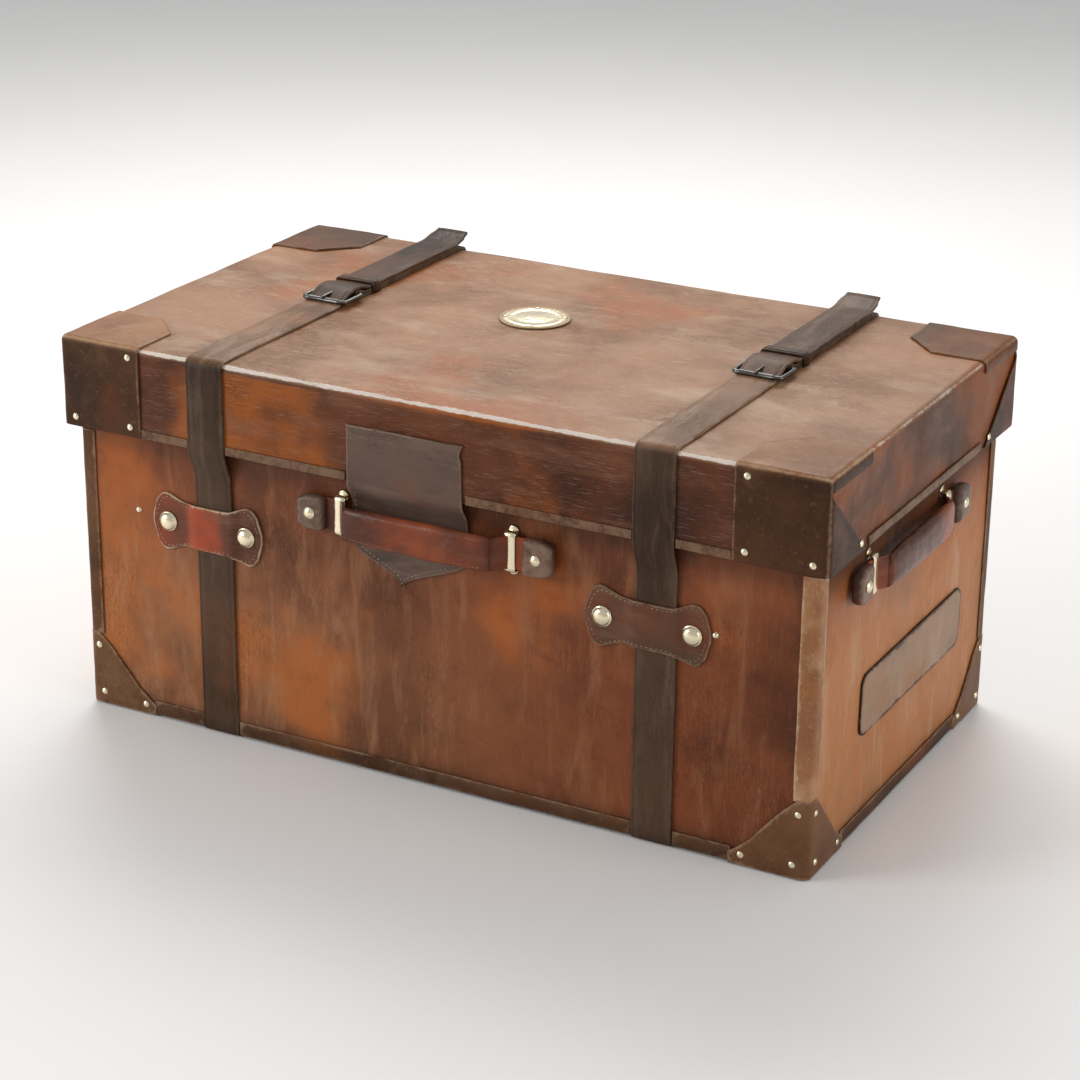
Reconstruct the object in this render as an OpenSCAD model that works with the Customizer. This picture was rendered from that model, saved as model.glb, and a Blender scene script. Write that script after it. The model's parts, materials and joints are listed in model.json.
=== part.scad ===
// Leather travel trunk: boards covered in leather, an overlapping lid on a hidden back hinge,
// two buckled straps, three leather handles in brass loops, and a flap over the front.
// Millimetres. X runs along the trunk, the front faces -Y, Z is up, origin under the centre.

/* [Case] */
// Length over the leather
body_l = 804; // [600:1:1000]
// Depth from front to back over the leather
body_d = 450; // [360:1:560]
// Height of the case's rim above the floor
rim_z = 333; // [300:1:420]
// Thickness of the case's boards
board = 9; // [6:0.5:12]
// Thickness of the leather on the case and the lid's sides
leather = 2.5; // [1.5:0.1:4]
// Thickness of the strip that caps the rim
rim_t = 1.5; // [1:0.1:2.5]
// Thickness of the lining
lining_t = 1; // [0.6:0.1:2]

/* [Lid] */
// How far the lid hangs down below the rim
lap = 25; // [15:1:40]
// Depth of the lid's sides
lid_deep = 92; // [80:1:140]
// Space between the lid's sides and the case
lid_gap = 2; // [1.5:0.1:4]
// Thickness of the boards in the lid's sides
lid_board = 6.5; // [5:0.5:10]
// Thickness of the lid's top board
top_board = 8; // [6:0.5:12]
// Thickness of the lid's top leather
top_leather = 3; // [2:0.1:4]
// Thickness of the rails that rest on the rim
rail_t = 12; // [8:1:18]
// Space left between the rails and the rim
rail_gap = 0.5; // [0.3:0.1:1]

/* [Hinges] */
// Distance of the outer hinges from the middle
hinge_x = 160; // [100:1:190]
// Length of one hinge
hinge_l = 56; // [40:1:70]
// Distance of the pin's axis from the lid's back face
hinge_off = 4; // [4:0.1:6]
// Radius of a hinge pin
pin_r = 1.8; // [1.2:0.1:2.2]
// Running clearance of pins and bars in their bores
fit_gap = 0.05; // [0.02:0.01:0.1]
// Height of a hinge leaf
leaf_h = 38; // [30:1:45]
// Thickness of a hinge leaf
leaf_t = 1.5; // [1:0.1:2]

/* [Straps] */
// Distance of the straps from the middle
strap_x = 243; // [205:1:270]
// Width of a strap
strap_w = 42; // [30:1:44]
// Thickness of a strap
strap_t = 3; // [2:0.1:4]
// Height at which the lower strap ends under its keeper
strap_join_z = 237; // [225:1:245]
// Top end of the lower strap on the back
strap_back_z = 290; // [270:1:295]
// Play between the lid's strap and what it lies on
strap_play = 0.5; // [0.3:0.1:1]

/* [Buckles] */
// Place of the buckle's heel bar behind the middle
heel_y = 14; // [0:1:40]
// Length of a buckle between its bars
buckle_l = 34; // [30:1:44]
// Radius of the heel bar
heel_r = 2; // [1.6:0.1:2.4]
// Radius of the frame's other bars
frame_r = 2.2; // [1.8:0.1:2.4]
// Radius of the prong
prong_r = 1.5; // [1:0.1:1.8]

/* [Keepers] */
// Length of a keeper plate
keeper_l = 130; // [120:1:150]
// Height of a keeper plate
keeper_h = 62; // [50:1:70]
// Height of a keeper's waist
keeper_waist = 46; // [36:1:50]
// Height of the keepers' centre above the floor
keeper_z = 222; // [200:1:235]
// How far a keeper sits to one side of its strap
keeper_shift = 9; // [0:1:9]
// Distance between a keeper's two studs
stud_span = 92; // [90:1:94]
// Radius of a stud's head
stud_r = 10.5; // [8:0.5:10.5]

/* [Handles] */
// Length of a handle over its stop ends
handle_l = 280; // [260:1:320]
// Height of the handles' centre above the floor
handle_z = 268; // [240:1:275]
// Length of the padded grip
grip_l = 160; // [130:1:164]
// Height of the grip
grip_h = 36; // [30:1:40]
// Thickness of the grip
grip_t = 14; // [10:1:16]
// Space behind the front grip
front_stand = 16; // [15:0.5:20]
// Space behind the end grips
end_stand = 9; // [8:0.5:16]
// Distance from a handle's middle to its brass loops
loop_u = 93; // [91:1:96]
// Width of a brass loop along the handle
loop_w = 12; // [8:1:14]
// How far a grip lifts away from the trunk
lift = 18; // [10:1:22]
// How far each stop end is drawn in by that
draw = 8; // [4:1:10]
// How far the end handles sit towards the front
end_handle_y = -20; // [-40:1:40]

/* [Trim] */
// Leg of a corner cap on the case
cap_leg = 78; // [60:1:90]
// Thickness of a corner cap on the case
cap_t = 2.5; // [1.5:0.1:2.9]
// Leg of a corner cap on the lid
lid_cap_leg = 92; // [70:1:100]
// Thickness of a corner cap on the lid
lid_cap_t = 2; // [1.5:0.1:2.5]
// Thickness of the edge bindings
bind_t = 1.5; // [1:0.1:2]
// Width of the edge bindings
bind_w = 15; // [10:1:18]
// Width of the front flap
flap_w = 128; // [110:1:150]
// Sideways place of the flap's middle
flap_x = -18; // [-20:1:20]
// Height of the flap's point above the floor
flap_tip_z = 205; // [200:1:215]
// Radius of the round brass plate on the lid
plate_r = 37; // [25:1:45]
// Length of the label patch on the right end
patch_l = 260; // [150:1:280]
// Height of the label patch
patch_h = 64; // [40:1:80]
// Radius of a small rivet's head
rivet_r = 3.5; // [2.5:0.1:4]

/* [Hidden] */
bx = body_l / 2;
by = body_d / 2;
in_x = bx - leather - board;
in_y = by - leather - board;
base_z = strap_t;
floor_z = base_z + leather + board;
top_z = rim_z - lap + lid_deep;
lid_z = rim_z - lap;
lx = bx + lid_gap + lid_board + leather;
ly = by + lid_gap + lid_board + leather;
lid_in_x = bx + lid_gap;
lid_in_y = by + lid_gap;
under_top = top_z - top_leather - top_board;
pivot_y = ly + hinge_off;
knuckle_r = hinge_off - 0.4;
knuckle_gap = 0.3;
mid_knuckle = hinge_l / 6;
half_w = strap_w / 2;
bar_z = top_z + strap_t + 0.5 + frame_r;
front_bar_y = heel_y - buckle_l;
frame_x = half_w + 2 + frame_r;
eye_r = heel_r + fit_gap + 2.6;
tail_over = bar_z + eye_r + 0.15;
tail_z = top_z + 2 * strap_t + 0.2;
lid_strap_end = strap_join_z + 2;
slide_r = norm([lift, draw]);
RED = [0.42, 0.22, 0.14];
TAN = [0.62, 0.45, 0.32];
DARK = [0.27, 0.23, 0.19];
GREY = [0.38, 0.33, 0.27];
BOARD = [0.72, 0.6, 0.42];
CLOTH = [0.7, 0.62, 0.48];
BRASS = [0.78, 0.7, 0.45];
IRON = [0.3, 0.28, 0.26];

// ---- helpers ----

// A box given by its low and high value along each axis
module slab(x, y, z) {
    translate([x[0], y[0], z[0]]) cube([x[1] - x[0], y[1] - y[0], z[1] - z[0]]);
}

// A profile in the YZ plane, run along X
module along_x(x0, x1) {
    translate([x0, 0, 0]) rotate([90, 0, 90]) linear_extrude(x1 - x0) children();
}

// An outline in the XZ plane, run along Y
module along_y(y0, y1) {
    translate([0, y1, 0]) rotate([90, 0, 0]) linear_extrude(y1 - y0) children();
}

// The children and their mirror image
module both(v) {
    children();
    mirror(v) children();
}

// The children on both straps, which are copies of each other
module each_strap() {
    for (x = [-strap_x, strap_x]) translate([x, 0, 0]) children();
}

// A square outline with round corners
module round_rect(w, h, r) {
    square([w - 2 * r, h], center = true);
    square([w, h - 2 * r], center = true);
    for (x = [-1, 1], y = [-1, 1]) translate([x * (w / 2 - r), y * (h / 2 - r)]) circle(r, $fn = 48);
}

// A domed head standing on z = 0
module dome(r, h) {
    ball = (r * r + h * h) / (2 * h);
    intersection() {
        translate([0, 0, h - ball]) sphere(ball, $fn = 64);
        cylinder(h = h, r = r, $fn = 48);
    }
}

// Turn something that stands on z = 0 so that it stands out from a face
module out_front() { rotate([90, 0, 0]) children(); }
module out_back() { rotate([-90, 0, 0]) children(); }
module out_right() { rotate([0, 90, 0]) children(); }

// ---- case ----

module case_boards_long() {
    color(BOARD) both([0, 1, 0])
        slab([-bx + leather, bx - leather], [in_y, by - leather], [base_z + leather, rim_z - rim_t]);
}

module case_boards_end() {
    color(BOARD) both([1, 0, 0])
        slab([in_x, bx - leather], [-in_y, in_y], [base_z + leather, rim_z - rim_t]);
}

module case_board_base() {
    color(BOARD) slab([-in_x, in_x], [-in_y, in_y], [base_z + leather, floor_z]);
}

module case_leather_long() {
    color(RED) both([0, 1, 0]) slab([-bx, bx], [by - leather, by], [base_z, rim_z - rim_t]);
}

module case_leather_end() {
    color(TAN) both([1, 0, 0])
        slab([bx - leather, bx], [-by + leather, by - leather], [base_z, rim_z - rim_t]);
}

module case_leather_base() {
    color(DARK)
        slab([-bx + leather, bx - leather], [-by + leather, by - leather], [base_z, base_z + leather]);
}

module case_rim_strip() {
    color(GREY) difference() {
        slab([-bx, bx], [-by, by], [rim_z - rim_t, rim_z]);
        slab([-in_x, in_x], [-in_y, in_y], [rim_z - rim_t - 1, rim_z + 1]);
    }
}

module case_lining() {
    color(CLOTH) difference() {
        slab([-in_x, in_x], [-in_y, in_y], [floor_z, rim_z - rim_t]);
        slab([-in_x + lining_t, in_x - lining_t], [-in_y + lining_t, in_y - lining_t],
            [floor_z + lining_t, rim_z]);
    }
}

// Strips on both sides of each upright edge, and along the foot between caps and straps
module case_bindings() {
    low = base_z + cap_leg;
    high = lid_z - 6;
    inner = strap_x - half_w - 1;
    outer = strap_x + half_w + 1;
    color(GREY) {
        both([1, 0, 0]) both([0, 1, 0]) difference() {
            slab([bx - bind_w, bx + bind_t], [by - bind_w, by + bind_t], [low, high]);
            slab([0, bx], [0, by], [0, rim_z]);
        }
        both([0, 1, 0]) {
            slab([-inner, inner], [by, by + bind_t], [base_z, base_z + bind_w]);
            both([1, 0, 0]) slab([outer, bx - cap_leg - 1], [by, by + bind_t], [base_z, base_z + bind_w]);
        }
        both([1, 0, 0])
            slab([bx, bx + bind_t], [-by + cap_leg + 1, by - cap_leg - 1], [base_z, base_z + bind_w]);
    }
}

// One face of a corner cap, with its slanted edge, from the corner at 0,0 outwards
module cap_face() {
    polygon([[-cap_t, -cap_t], [cap_leg, -cap_t], [cap_leg, 9], [8, cap_leg], [-cap_t, cap_leg]]);
}

// The cap on the corner at +X +Y; the others are mirrored from it
module corner_cap() {
    translate([bx, by, base_z]) {
        mirror([1, 0, 0]) along_y(0, cap_t) cap_face();
        mirror([0, 1, 0]) along_x(0, cap_t) cap_face();
        mirror([0, 0, 1]) linear_extrude(base_z) mirror([1, 0]) mirror([0, 1]) cap_face();
    }
}

module case_corner_caps() {
    color(GREY) both([1, 0, 0]) both([0, 1, 0]) corner_cap();
}

module case_cap_rivets() {
    spots = [[cap_leg - 12, 9], [10, cap_leg - 14], [14, 12]];
    color(BRASS) both([1, 0, 0]) both([0, 1, 0]) for (p = spots) {
        translate([bx - p[0], by + cap_t, base_z + p[1]]) out_back() dome(rivet_r, 1.6);
        translate([bx + cap_t, by - p[0], base_z + p[1]]) out_right() dome(rivet_r, 1.6);
    }
}

// The lower strap: down the front, under the base and up the back
module case_straps() {
    t = strap_t;
    color(DARK) each_strap() along_x(-half_w, half_w) polygon([
        [-by, strap_join_z], [-by, base_z], [by, base_z], [by, strap_back_z],
        [by + t, strap_back_z], [by + t, 2], [by + t - 2, 0], [-by - t + 2, 0],
        [-by - t, 2], [-by - t, strap_join_z]]);
}

// Outline of a keeper: round ends and a waist that dips in a smooth curve
module keeper_outline() {
    r = keeper_h / 2;
    dip = r - keeper_waist / 2;
    half = keeper_l / 2 - r;
    big = (half * half + dip * dip) / (2 * dip);
    difference() {
        union() {
            square([2 * half, keeper_h], center = true);
            for (s = [-1, 1]) translate([s * half, 0]) circle(r, $fn = 96);
        }
        for (s = [-1, 1]) translate([0, s * (keeper_waist / 2 + big)]) circle(big, $fn = 128);
    }
}

// Section of a keeper across its strap: flat wings and a raised bridge
module keeper_section() {
    t = strap_t;
    s = keeper_shift;
    in_w = half_w + 0.8;
    deep = by + t + 2 * strap_play;
    polygon([[-keeper_l, -by], [s - in_w - 1, -by], [s - in_w, -deep], [s + in_w, -deep],
        [s + in_w + 1, -by], [keeper_l, -by], [keeper_l, -by - t], [s + in_w + 4, -by - t],
        [s + in_w + 1, -deep - t], [s - in_w - 1, -deep - t], [s - in_w - 4, -by - t],
        [-keeper_l, -by - t]]);
}

module strap_keepers() {
    color(DARK) each_strap() translate([-keeper_shift, 0, 0]) difference() {
        intersection() {
            translate([0, 0, keeper_z - keeper_h]) linear_extrude(2 * keeper_h) keeper_section();
            translate([0, 0, keeper_z]) along_y(-by - 20, -by + 1) keeper_outline();
        }
        for (s = [-1, 1]) translate([s * stud_span / 2, -by + 1, keeper_z])
            out_front() cylinder(h = 20, r = 3.1, $fn = 32);
    }
}

module keeper_studs() {
    color(BRASS) each_strap() for (s = [-1, 1])
        translate([s * stud_span / 2 - keeper_shift, -by, keeper_z]) out_front() {
            cylinder(h = strap_t + 0.5, r = 3, $fn = 32);
            translate([0, 0, strap_t]) dome(stud_r, 5.5);
        }
}

module label_patch() {
    color(TAN) translate([bx, 16, 131]) rotate([90, 0, 90]) linear_extrude(2) round_rect(patch_l, patch_h, 12);
}

// ---- hinges ----

// The children at each hinge
module each_hinge() {
    for (x = [-hinge_x, 0, hinge_x]) translate([x, 0, 0]) children();
}

// Screw places on a leaf: along X and away from the leaf's bend
module leaf_screws() {
    for (x = [-0.36, 0.36], z = [0.45, 0.82]) translate([x * hinge_l, 0, z * leaf_h]) children();
}

// The case's leaf: plate on the back, a step out past the lid's side, and the two outer knuckles
module hinge_leaves_case() {
    half = hinge_l / 2;
    step_z = lid_z - 11;
    color(BRASS) each_hinge() difference() {
        union() {
            slab([-half, half], [by, by + leaf_t], [step_z - leaf_h, step_z]);
            slab([-half, half], [by, pivot_y + leaf_t], [step_z - leaf_t, step_z]);
            for (s = [-1, 1]) translate([s * (half + mid_knuckle + knuckle_gap) / 2, 0, 0]) {
                w = (half - mid_knuckle - knuckle_gap) / 2;
                slab([-w, w], [pivot_y - leaf_t, pivot_y + leaf_t], [step_z - leaf_t, lid_z - knuckle_r / 2]);
                translate([-w, pivot_y, lid_z]) out_right() cylinder(h = 2 * w, r = knuckle_r, $fn = 48);
            }
        }
        translate([-half - 1, pivot_y, lid_z]) out_right()
            cylinder(h = hinge_l + 2, r = pin_r + fit_gap, $fn = 48);
        translate([0, by - 1, step_z]) mirror([0, 0, 1]) leaf_screws()
            out_back() cylinder(h = 10, r = 1.6, $fn = 24);
    }
}

// The lid's leaf: plate on the lid's back and the middle knuckle
module hinge_leaves_lid() {
    half = hinge_l / 2;
    color(BRASS) each_hinge() difference() {
        union() {
            slab([-half, half], [ly, ly + leaf_t], [lid_z + 5, lid_z + leaf_h]);
            slab([-mid_knuckle, mid_knuckle], [ly, ly + leaf_t], [lid_z, lid_z + 6]);
            translate([-mid_knuckle, pivot_y, lid_z]) out_right()
                cylinder(h = 2 * mid_knuckle, r = knuckle_r, $fn = 48);
        }
        translate([-half, pivot_y, lid_z]) out_right()
            cylinder(h = hinge_l, r = pin_r + fit_gap, $fn = 48);
        translate([0, ly - 1, lid_z]) leaf_screws() out_back() cylinder(h = 10, r = 1.6, $fn = 24);
    }
}

module hinge_pins() {
    half = hinge_l / 2;
    color(BRASS) each_hinge() translate([0, pivot_y, lid_z]) {
        translate([-half, 0, 0]) out_right() cylinder(h = hinge_l, r = pin_r, $fn = 48);
        both([1, 0, 0]) translate([half, 0, 0]) out_right() cylinder(h = 1.2, r = 3, $fn = 48);
    }
}

// A leaf's screw: a shank through the leaf and a domed head on it
module leaf_screw() {
    out_back() {
        cylinder(h = leaf_t + 0.3, r = 1.5, $fn = 24);
        translate([0, 0, leaf_t]) dome(3, 1.2);
    }
}

module hinge_screws_case() {
    color(BRASS) each_hinge() translate([0, by, lid_z - 11]) mirror([0, 0, 1]) leaf_screws() leaf_screw();
}

module hinge_screws_lid() {
    color(BRASS) each_hinge() translate([0, ly, lid_z]) leaf_screws() leaf_screw();
}

// ---- lid ----

module lid_top_leather() {
    color(TAN) slab([-lx, lx], [-ly, ly], [top_z - top_leather, top_z]);
}

module lid_top_board() {
    color(BOARD) slab([-lx + leather, lx - leather], [-ly + leather, ly - leather],
        [under_top, top_z - top_leather]);
}

module lid_boards_long() {
    color(BOARD) both([0, 1, 0])
        slab([-lx + leather, lx - leather], [lid_in_y, ly - leather], [lid_z, under_top]);
}

module lid_boards_end() {
    color(BOARD) both([1, 0, 0]) slab([lid_in_x, lx - leather], [-lid_in_y, lid_in_y], [lid_z, under_top]);
}

module lid_leather_long() {
    color(RED) both([0, 1, 0]) slab([-lx, lx], [ly - leather, ly], [lid_z, top_z - top_leather]);
}

module lid_leather_end() {
    color(TAN) both([1, 0, 0])
        slab([lx - leather, lx], [-ly + leather, ly - leather], [lid_z, top_z - top_leather]);
}

// Rails inside the lid that come to rest on the case's rim
module lid_rails() {
    z = [rim_z + rail_gap, under_top];
    color(BOARD) {
        both([0, 1, 0]) slab([-lid_in_x, lid_in_x], [lid_in_y - rail_t, lid_in_y], z);
        both([1, 0, 0])
            slab([lid_in_x - rail_t, lid_in_x], [-lid_in_y + rail_t + 0.2, lid_in_y - rail_t - 0.2], z);
    }
}

module lid_lining() {
    color(CLOTH) slab([-lid_in_x + rail_t, lid_in_x - rail_t], [-lid_in_y + rail_t, lid_in_y - rail_t],
        [under_top - lining_t, under_top]);
}

// A strip along the lid's lower edge, broken by the caps, the straps, the flap and the hinges
module lid_edge_binding() {
    z = [lid_z, lid_z + 9];
    cap = lx - lid_cap_leg - 1;
    outer = strap_x + half_w + 1;
    inner = strap_x - half_w - 1;
    front = [[-cap, -outer], [-inner, flap_x - flap_w / 2 - 2], [flap_x + flap_w / 2 + 2, inner], [outer, cap]];
    side = hinge_x - hinge_l / 2 - 2;
    back = [[-cap, -outer], [-side, -hinge_l / 2 - 2], [hinge_l / 2 + 2, side], [outer, cap],
        [-inner, -hinge_x - hinge_l / 2 - 2], [hinge_x + hinge_l / 2 + 2, inner]];
    color(GREY) {
        for (x = front) slab(x, [-ly - bind_t, -ly], z);
        for (x = back) slab(x, [ly, ly + bind_t], z);
        both([1, 0, 0]) slab([lx, lx + bind_t], [-ly + lid_cap_leg, ly - lid_cap_leg], z);
    }
}

// The lid's corner cap at +X +Y: full height on the long side, a slanted wing on the end
module lid_cap() {
    t = lid_cap_t;
    g = lid_cap_leg;
    translate([lx, ly, 0]) {
        slab([-g, t], [0, t], [lid_z, top_z + t]);
        along_x(0, t) polygon([[t, lid_z], [-0.9 * g, lid_z], [-14, lid_z + 0.68 * lid_deep],
            [-20, top_z - 15], [-g, top_z - 10], [-g, top_z + t], [t, top_z + t]]);
        translate([0, 0, top_z]) linear_extrude(t) polygon([[t, t], [-g, t], [-g, -0.65 * g],
            [-0.78 * g, -0.86 * g], [-0.4 * g, -g], [t, -g]]);
    }
}

module lid_corner_caps() {
    color(GREY) both([1, 0, 0]) both([0, 1, 0]) lid_cap();
}

module lid_cap_rivets() {
    g = lid_cap_leg;
    color(BRASS) both([1, 0, 0]) both([0, 1, 0]) {
        for (p = [[g - 12, 10], [14, 10], [g - 12, lid_deep - 10]])
            translate([lx - p[0], ly + lid_cap_t, lid_z + p[1]]) out_back() dome(rivet_r, 1.6);
        translate([lx + lid_cap_t, ly - g + 20, lid_z + 9]) out_right() dome(rivet_r, 1.6);
    }
}

// The lid's strap: up the front, over the edge, through the buckle and on to a free tail
module lid_straps() {
    t = strap_t;
    rest = by + strap_play;
    rise = heel_y - 7;
    color(DARK) each_strap() difference() {
        along_x(-half_w, half_w) polygon([
            [-rest, lid_strap_end], [-rest, lid_z - 28], [-ly, lid_z - 4], [-ly, top_z],
            [front_bar_y + 4, top_z], [rise, tail_over], [heel_y + 6, tail_over],
            [heel_y + 20, tail_z], [ly - 18, tail_z], [ly - 4, tail_z + 3], [ly + 10, tail_z + 7],
            [ly + 9, tail_z + 10], [ly - 5, tail_z + 6], [ly - 19, tail_z + t],
            [heel_y + 21, tail_z + t], [heel_y + 7, tail_over + t], [rise - 1.5, tail_over + t],
            [front_bar_y + 3, top_z + t], [-ly, top_z + t], [-ly - t, top_z],
            [-ly - t, lid_z - 5], [-rest - t, lid_z - 29], [-rest - t, lid_strap_end]]);
        slab([-4, 4], [front_bar_y + 6, heel_y + 2], [top_z - 1, tail_over + 10]);
    }
}

// The strap on the back, doubled on top, with the eye that holds the buckle's heel bar
module back_straps() {
    t = strap_t;
    color(DARK) each_strap() difference() {
        union() {
            along_x(-half_w, half_w) polygon([
                [heel_y, top_z], [ly, top_z], [ly, lid_z + 2], [ly + t, lid_z + 2], [ly + t, top_z],
                [ly, top_z + t], [ly - 8, top_z + t], [ly - 14, top_z + 2 * t], [heel_y, top_z + 2 * t]]);
            translate([-half_w, heel_y, bar_z]) out_right() cylinder(h = strap_w, r = eye_r, $fn = 64);
        }
        translate([-half_w - 1, heel_y, bar_z]) out_right()
            cylinder(h = strap_w + 2, r = heel_r + fit_gap, $fn = 64);
        slab([-3.4, 3.4], [heel_y - 8, heel_y + 5.5], [top_z - 1, bar_z + 8]);
    }
}

// A leather loop over each strap and its tail
module strap_loops() {
    top = tail_z + strap_t + 0.3;
    color(DARK) each_strap() difference() {
        slab([-half_w - 2.6, half_w + 2.6], [heel_y + 26, heel_y + 40], [top_z, top + 2]);
        slab([-half_w - 0.6, half_w + 0.6], [heel_y, heel_y + 60], [top_z - 1, top]);
    }
}

module round_plate() {
    color(BRASS) translate([-34, 49, top_z]) rotate_extrude($fn = 96)
        polygon([[0, 0], [plate_r, 0], [plate_r, 0.8], [plate_r - 3, 1.6], [0, 2.2]]);
}

// Outline of the flap: straight sides, then an S-curve on each side down to the point
module flap_outline() {
    shoulder = flap_tip_z + 40;
    n = 16;
    low = [for (i = [0 : n]) let (t = i / n, w = flap_w / 2 * (0.5 + 0.5 * cos(180 * t)))
        [flap_x - 10 * t - w, shoulder - 40 * t]];
    back = [for (i = [n - 1 : -1 : 0]) let (t = i / n, w = flap_w / 2 * (0.5 + 0.5 * cos(180 * t)))
        [flap_x - 10 * t + w, shoulder - 40 * t]];
    difference() {
        polygon(concat([[flap_x - flap_w / 2, top_z - 34]], low, back,
            [[flap_x + flap_w / 2, top_z - 34]]));
        translate([flap_x + flap_w / 2 + 5, top_z - 44]) circle(9, $fn = 48);
    }
}

module front_flap() {
    rest = by + strap_play;
    t = strap_t;
    color(RED) intersection() {
        along_x(flap_x - flap_w, flap_x + flap_w) polygon([
            [-rest, flap_tip_z - 5], [-rest, lid_z - 22], [-ly, lid_z - 4], [-ly, top_z],
            [-ly - t, top_z], [-ly - t, lid_z - 5], [-rest - t, lid_z - 23],
            [-rest - t, flap_tip_z - 5]]);
        along_y(-ly - 20, -by + 10) flap_outline();
    }
}

// ---- buckles ----

// Three sides of square bar, and the round heel bar across their open end
module buckle_frame() {
    r = frame_r;
    color(IRON) {
        translate([-frame_x, heel_y, bar_z]) out_right() cylinder(h = 2 * frame_x, r = heel_r, $fn = 48);
        difference() {
            slab([-frame_x - r, frame_x + r], [front_bar_y - r, heel_y + r], [bar_z - r, bar_z + r]);
            slab([-frame_x + r, frame_x - r], [front_bar_y + r, heel_y + 2 * r],
                [bar_z - 2 * r, bar_z + 2 * r]);
        }
    }
}

// The prong: a ring round the heel bar and an arm that lies over the frame's front bar
module buckle_prong() {
    w = prong_r;
    low = bar_z + frame_r + 0.5;
    color(IRON) difference() {
        union() {
            translate([-2.6, heel_y, bar_z]) out_right() cylinder(h = 5.2, r = heel_r + 1.6, $fn = 48);
            along_x(-w, w) polygon([
                [heel_y - 2.6, bar_z - 0.5], [front_bar_y + frame_r + 1, low], [front_bar_y - 5, low],
                [front_bar_y - 6, low + w], [front_bar_y - 5, low + 2 * w],
                [front_bar_y + 6, low + 2 * w], [heel_y - 1, bar_z + 2.8]]);
        }
        translate([-5, heel_y, bar_z]) out_right() cylinder(h = 10, r = heel_r + fit_gap, $fn = 48);
    }
}

module buckle_frame_left() { translate([-strap_x, 0, 0]) buckle_frame(); }
module buckle_frame_right() { translate([strap_x, 0, 0]) buckle_frame(); }
module buckle_prong_left() { translate([-strap_x, 0, 0]) buckle_prong(); }
module buckle_prong_right() { translate([strap_x, 0, 0]) buckle_prong(); }

// ---- handles ----
// Drawn along X with the trunk's face at y = 0 and the outside at -y, then put in place.

loop_depth = 9;
loop_t = 1.8;
tongue = [4, 7];
stop_t = [2, 15];
stop_in = loop_u + loop_w / 2 + draw + 0.5;
handle_end = handle_l / 2;

module at_front() { translate([0, -by, handle_z]) children(); }
module at_right() { translate([bx, end_handle_y, handle_z]) rotate([0, 0, 90]) children(); }
module at_left() { translate([-bx, end_handle_y, handle_z]) rotate([0, 0, -90]) children(); }

// The padded grip: an oval bar with rounded ends
module grip(stand) {
    r = grip_t / 2;
    color(RED) intersection() {
        translate([-grip_l / 2, -stand - r, 0]) rotate([90, 0, 90]) linear_extrude(grip_l) {
            square([grip_t, grip_h - grip_t], center = true);
            for (s = [-1, 1]) translate([0, s * (grip_h / 2 - r)]) circle(r, $fn = 64);
        }
        along_y(-stand - grip_t - 1, -stand + 1) round_rect(grip_l, grip_h, 10);
    }
}

// A stop end at +X: a thick block that cannot pass the loop, and the tongue that lies in it
module stop_end() {
    mid = (stop_in + handle_end) / 2;
    color(RED) difference() {
        union() {
            translate([mid, 0, 0]) along_y(-stop_t[1], -stop_t[0]) round_rect(handle_end - stop_in, 37, 9);
            slab([grip_l / 2 + 2, stop_in + 2], [-tongue[1], -tongue[0]], [-17, 17]);
        }
        translate([mid, 1, 0]) out_front() cylinder(h = 20, r = 2.6, $fn = 32);
    }
}

module stop_rivet() {
    mid = (stop_in + handle_end) / 2;
    color(BRASS) translate([mid, -stop_t[0], 0]) out_front() {
        cylinder(h = stop_t[1] - stop_t[0] + 0.4, r = 2.5, $fn = 32);
        translate([0, 0, stop_t[1] - stop_t[0]]) dome(6, 2.4);
    }
}

// The two brass loops that hold a handle to the trunk
module loops() {
    color(BRASS) both([1, 0, 0]) translate([loop_u, 0, 0]) along_x(-loop_w / 2, loop_w / 2) difference() {
        translate([-loop_depth - loop_t, -20.3]) square([loop_depth + loop_t, 40.6]);
        translate([-loop_depth, -18.5]) square([loop_depth + 1, 37]);
    }
}

module handle_loops_front() { at_front() loops(); }
module handle_loops_right() { at_right() loops(); }
module handle_loops_left() { at_left() loops(); }
module grip_front() { at_front() grip(front_stand); }
module grip_right() { at_right() grip(end_stand); }
module grip_left() { at_left() grip(end_stand); }
module stop_front_a() { at_front() mirror([1, 0, 0]) stop_end(); }
module stop_front_b() { at_front() stop_end(); }
module stop_right_a() { at_right() mirror([1, 0, 0]) stop_end(); }
module stop_right_b() { at_right() stop_end(); }
module stop_left_a() { at_left() mirror([1, 0, 0]) stop_end(); }
module stop_left_b() { at_left() stop_end(); }
module rivet_front_a() { at_front() mirror([1, 0, 0]) stop_rivet(); }
module rivet_front_b() { at_front() stop_rivet(); }
module rivet_right_a() { at_right() mirror([1, 0, 0]) stop_rivet(); }
module rivet_right_b() { at_right() stop_rivet(); }
module rivet_left_a() { at_left() mirror([1, 0, 0]) stop_rivet(); }
module rivet_left_b() { at_left() stop_rivet(); }

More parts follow.
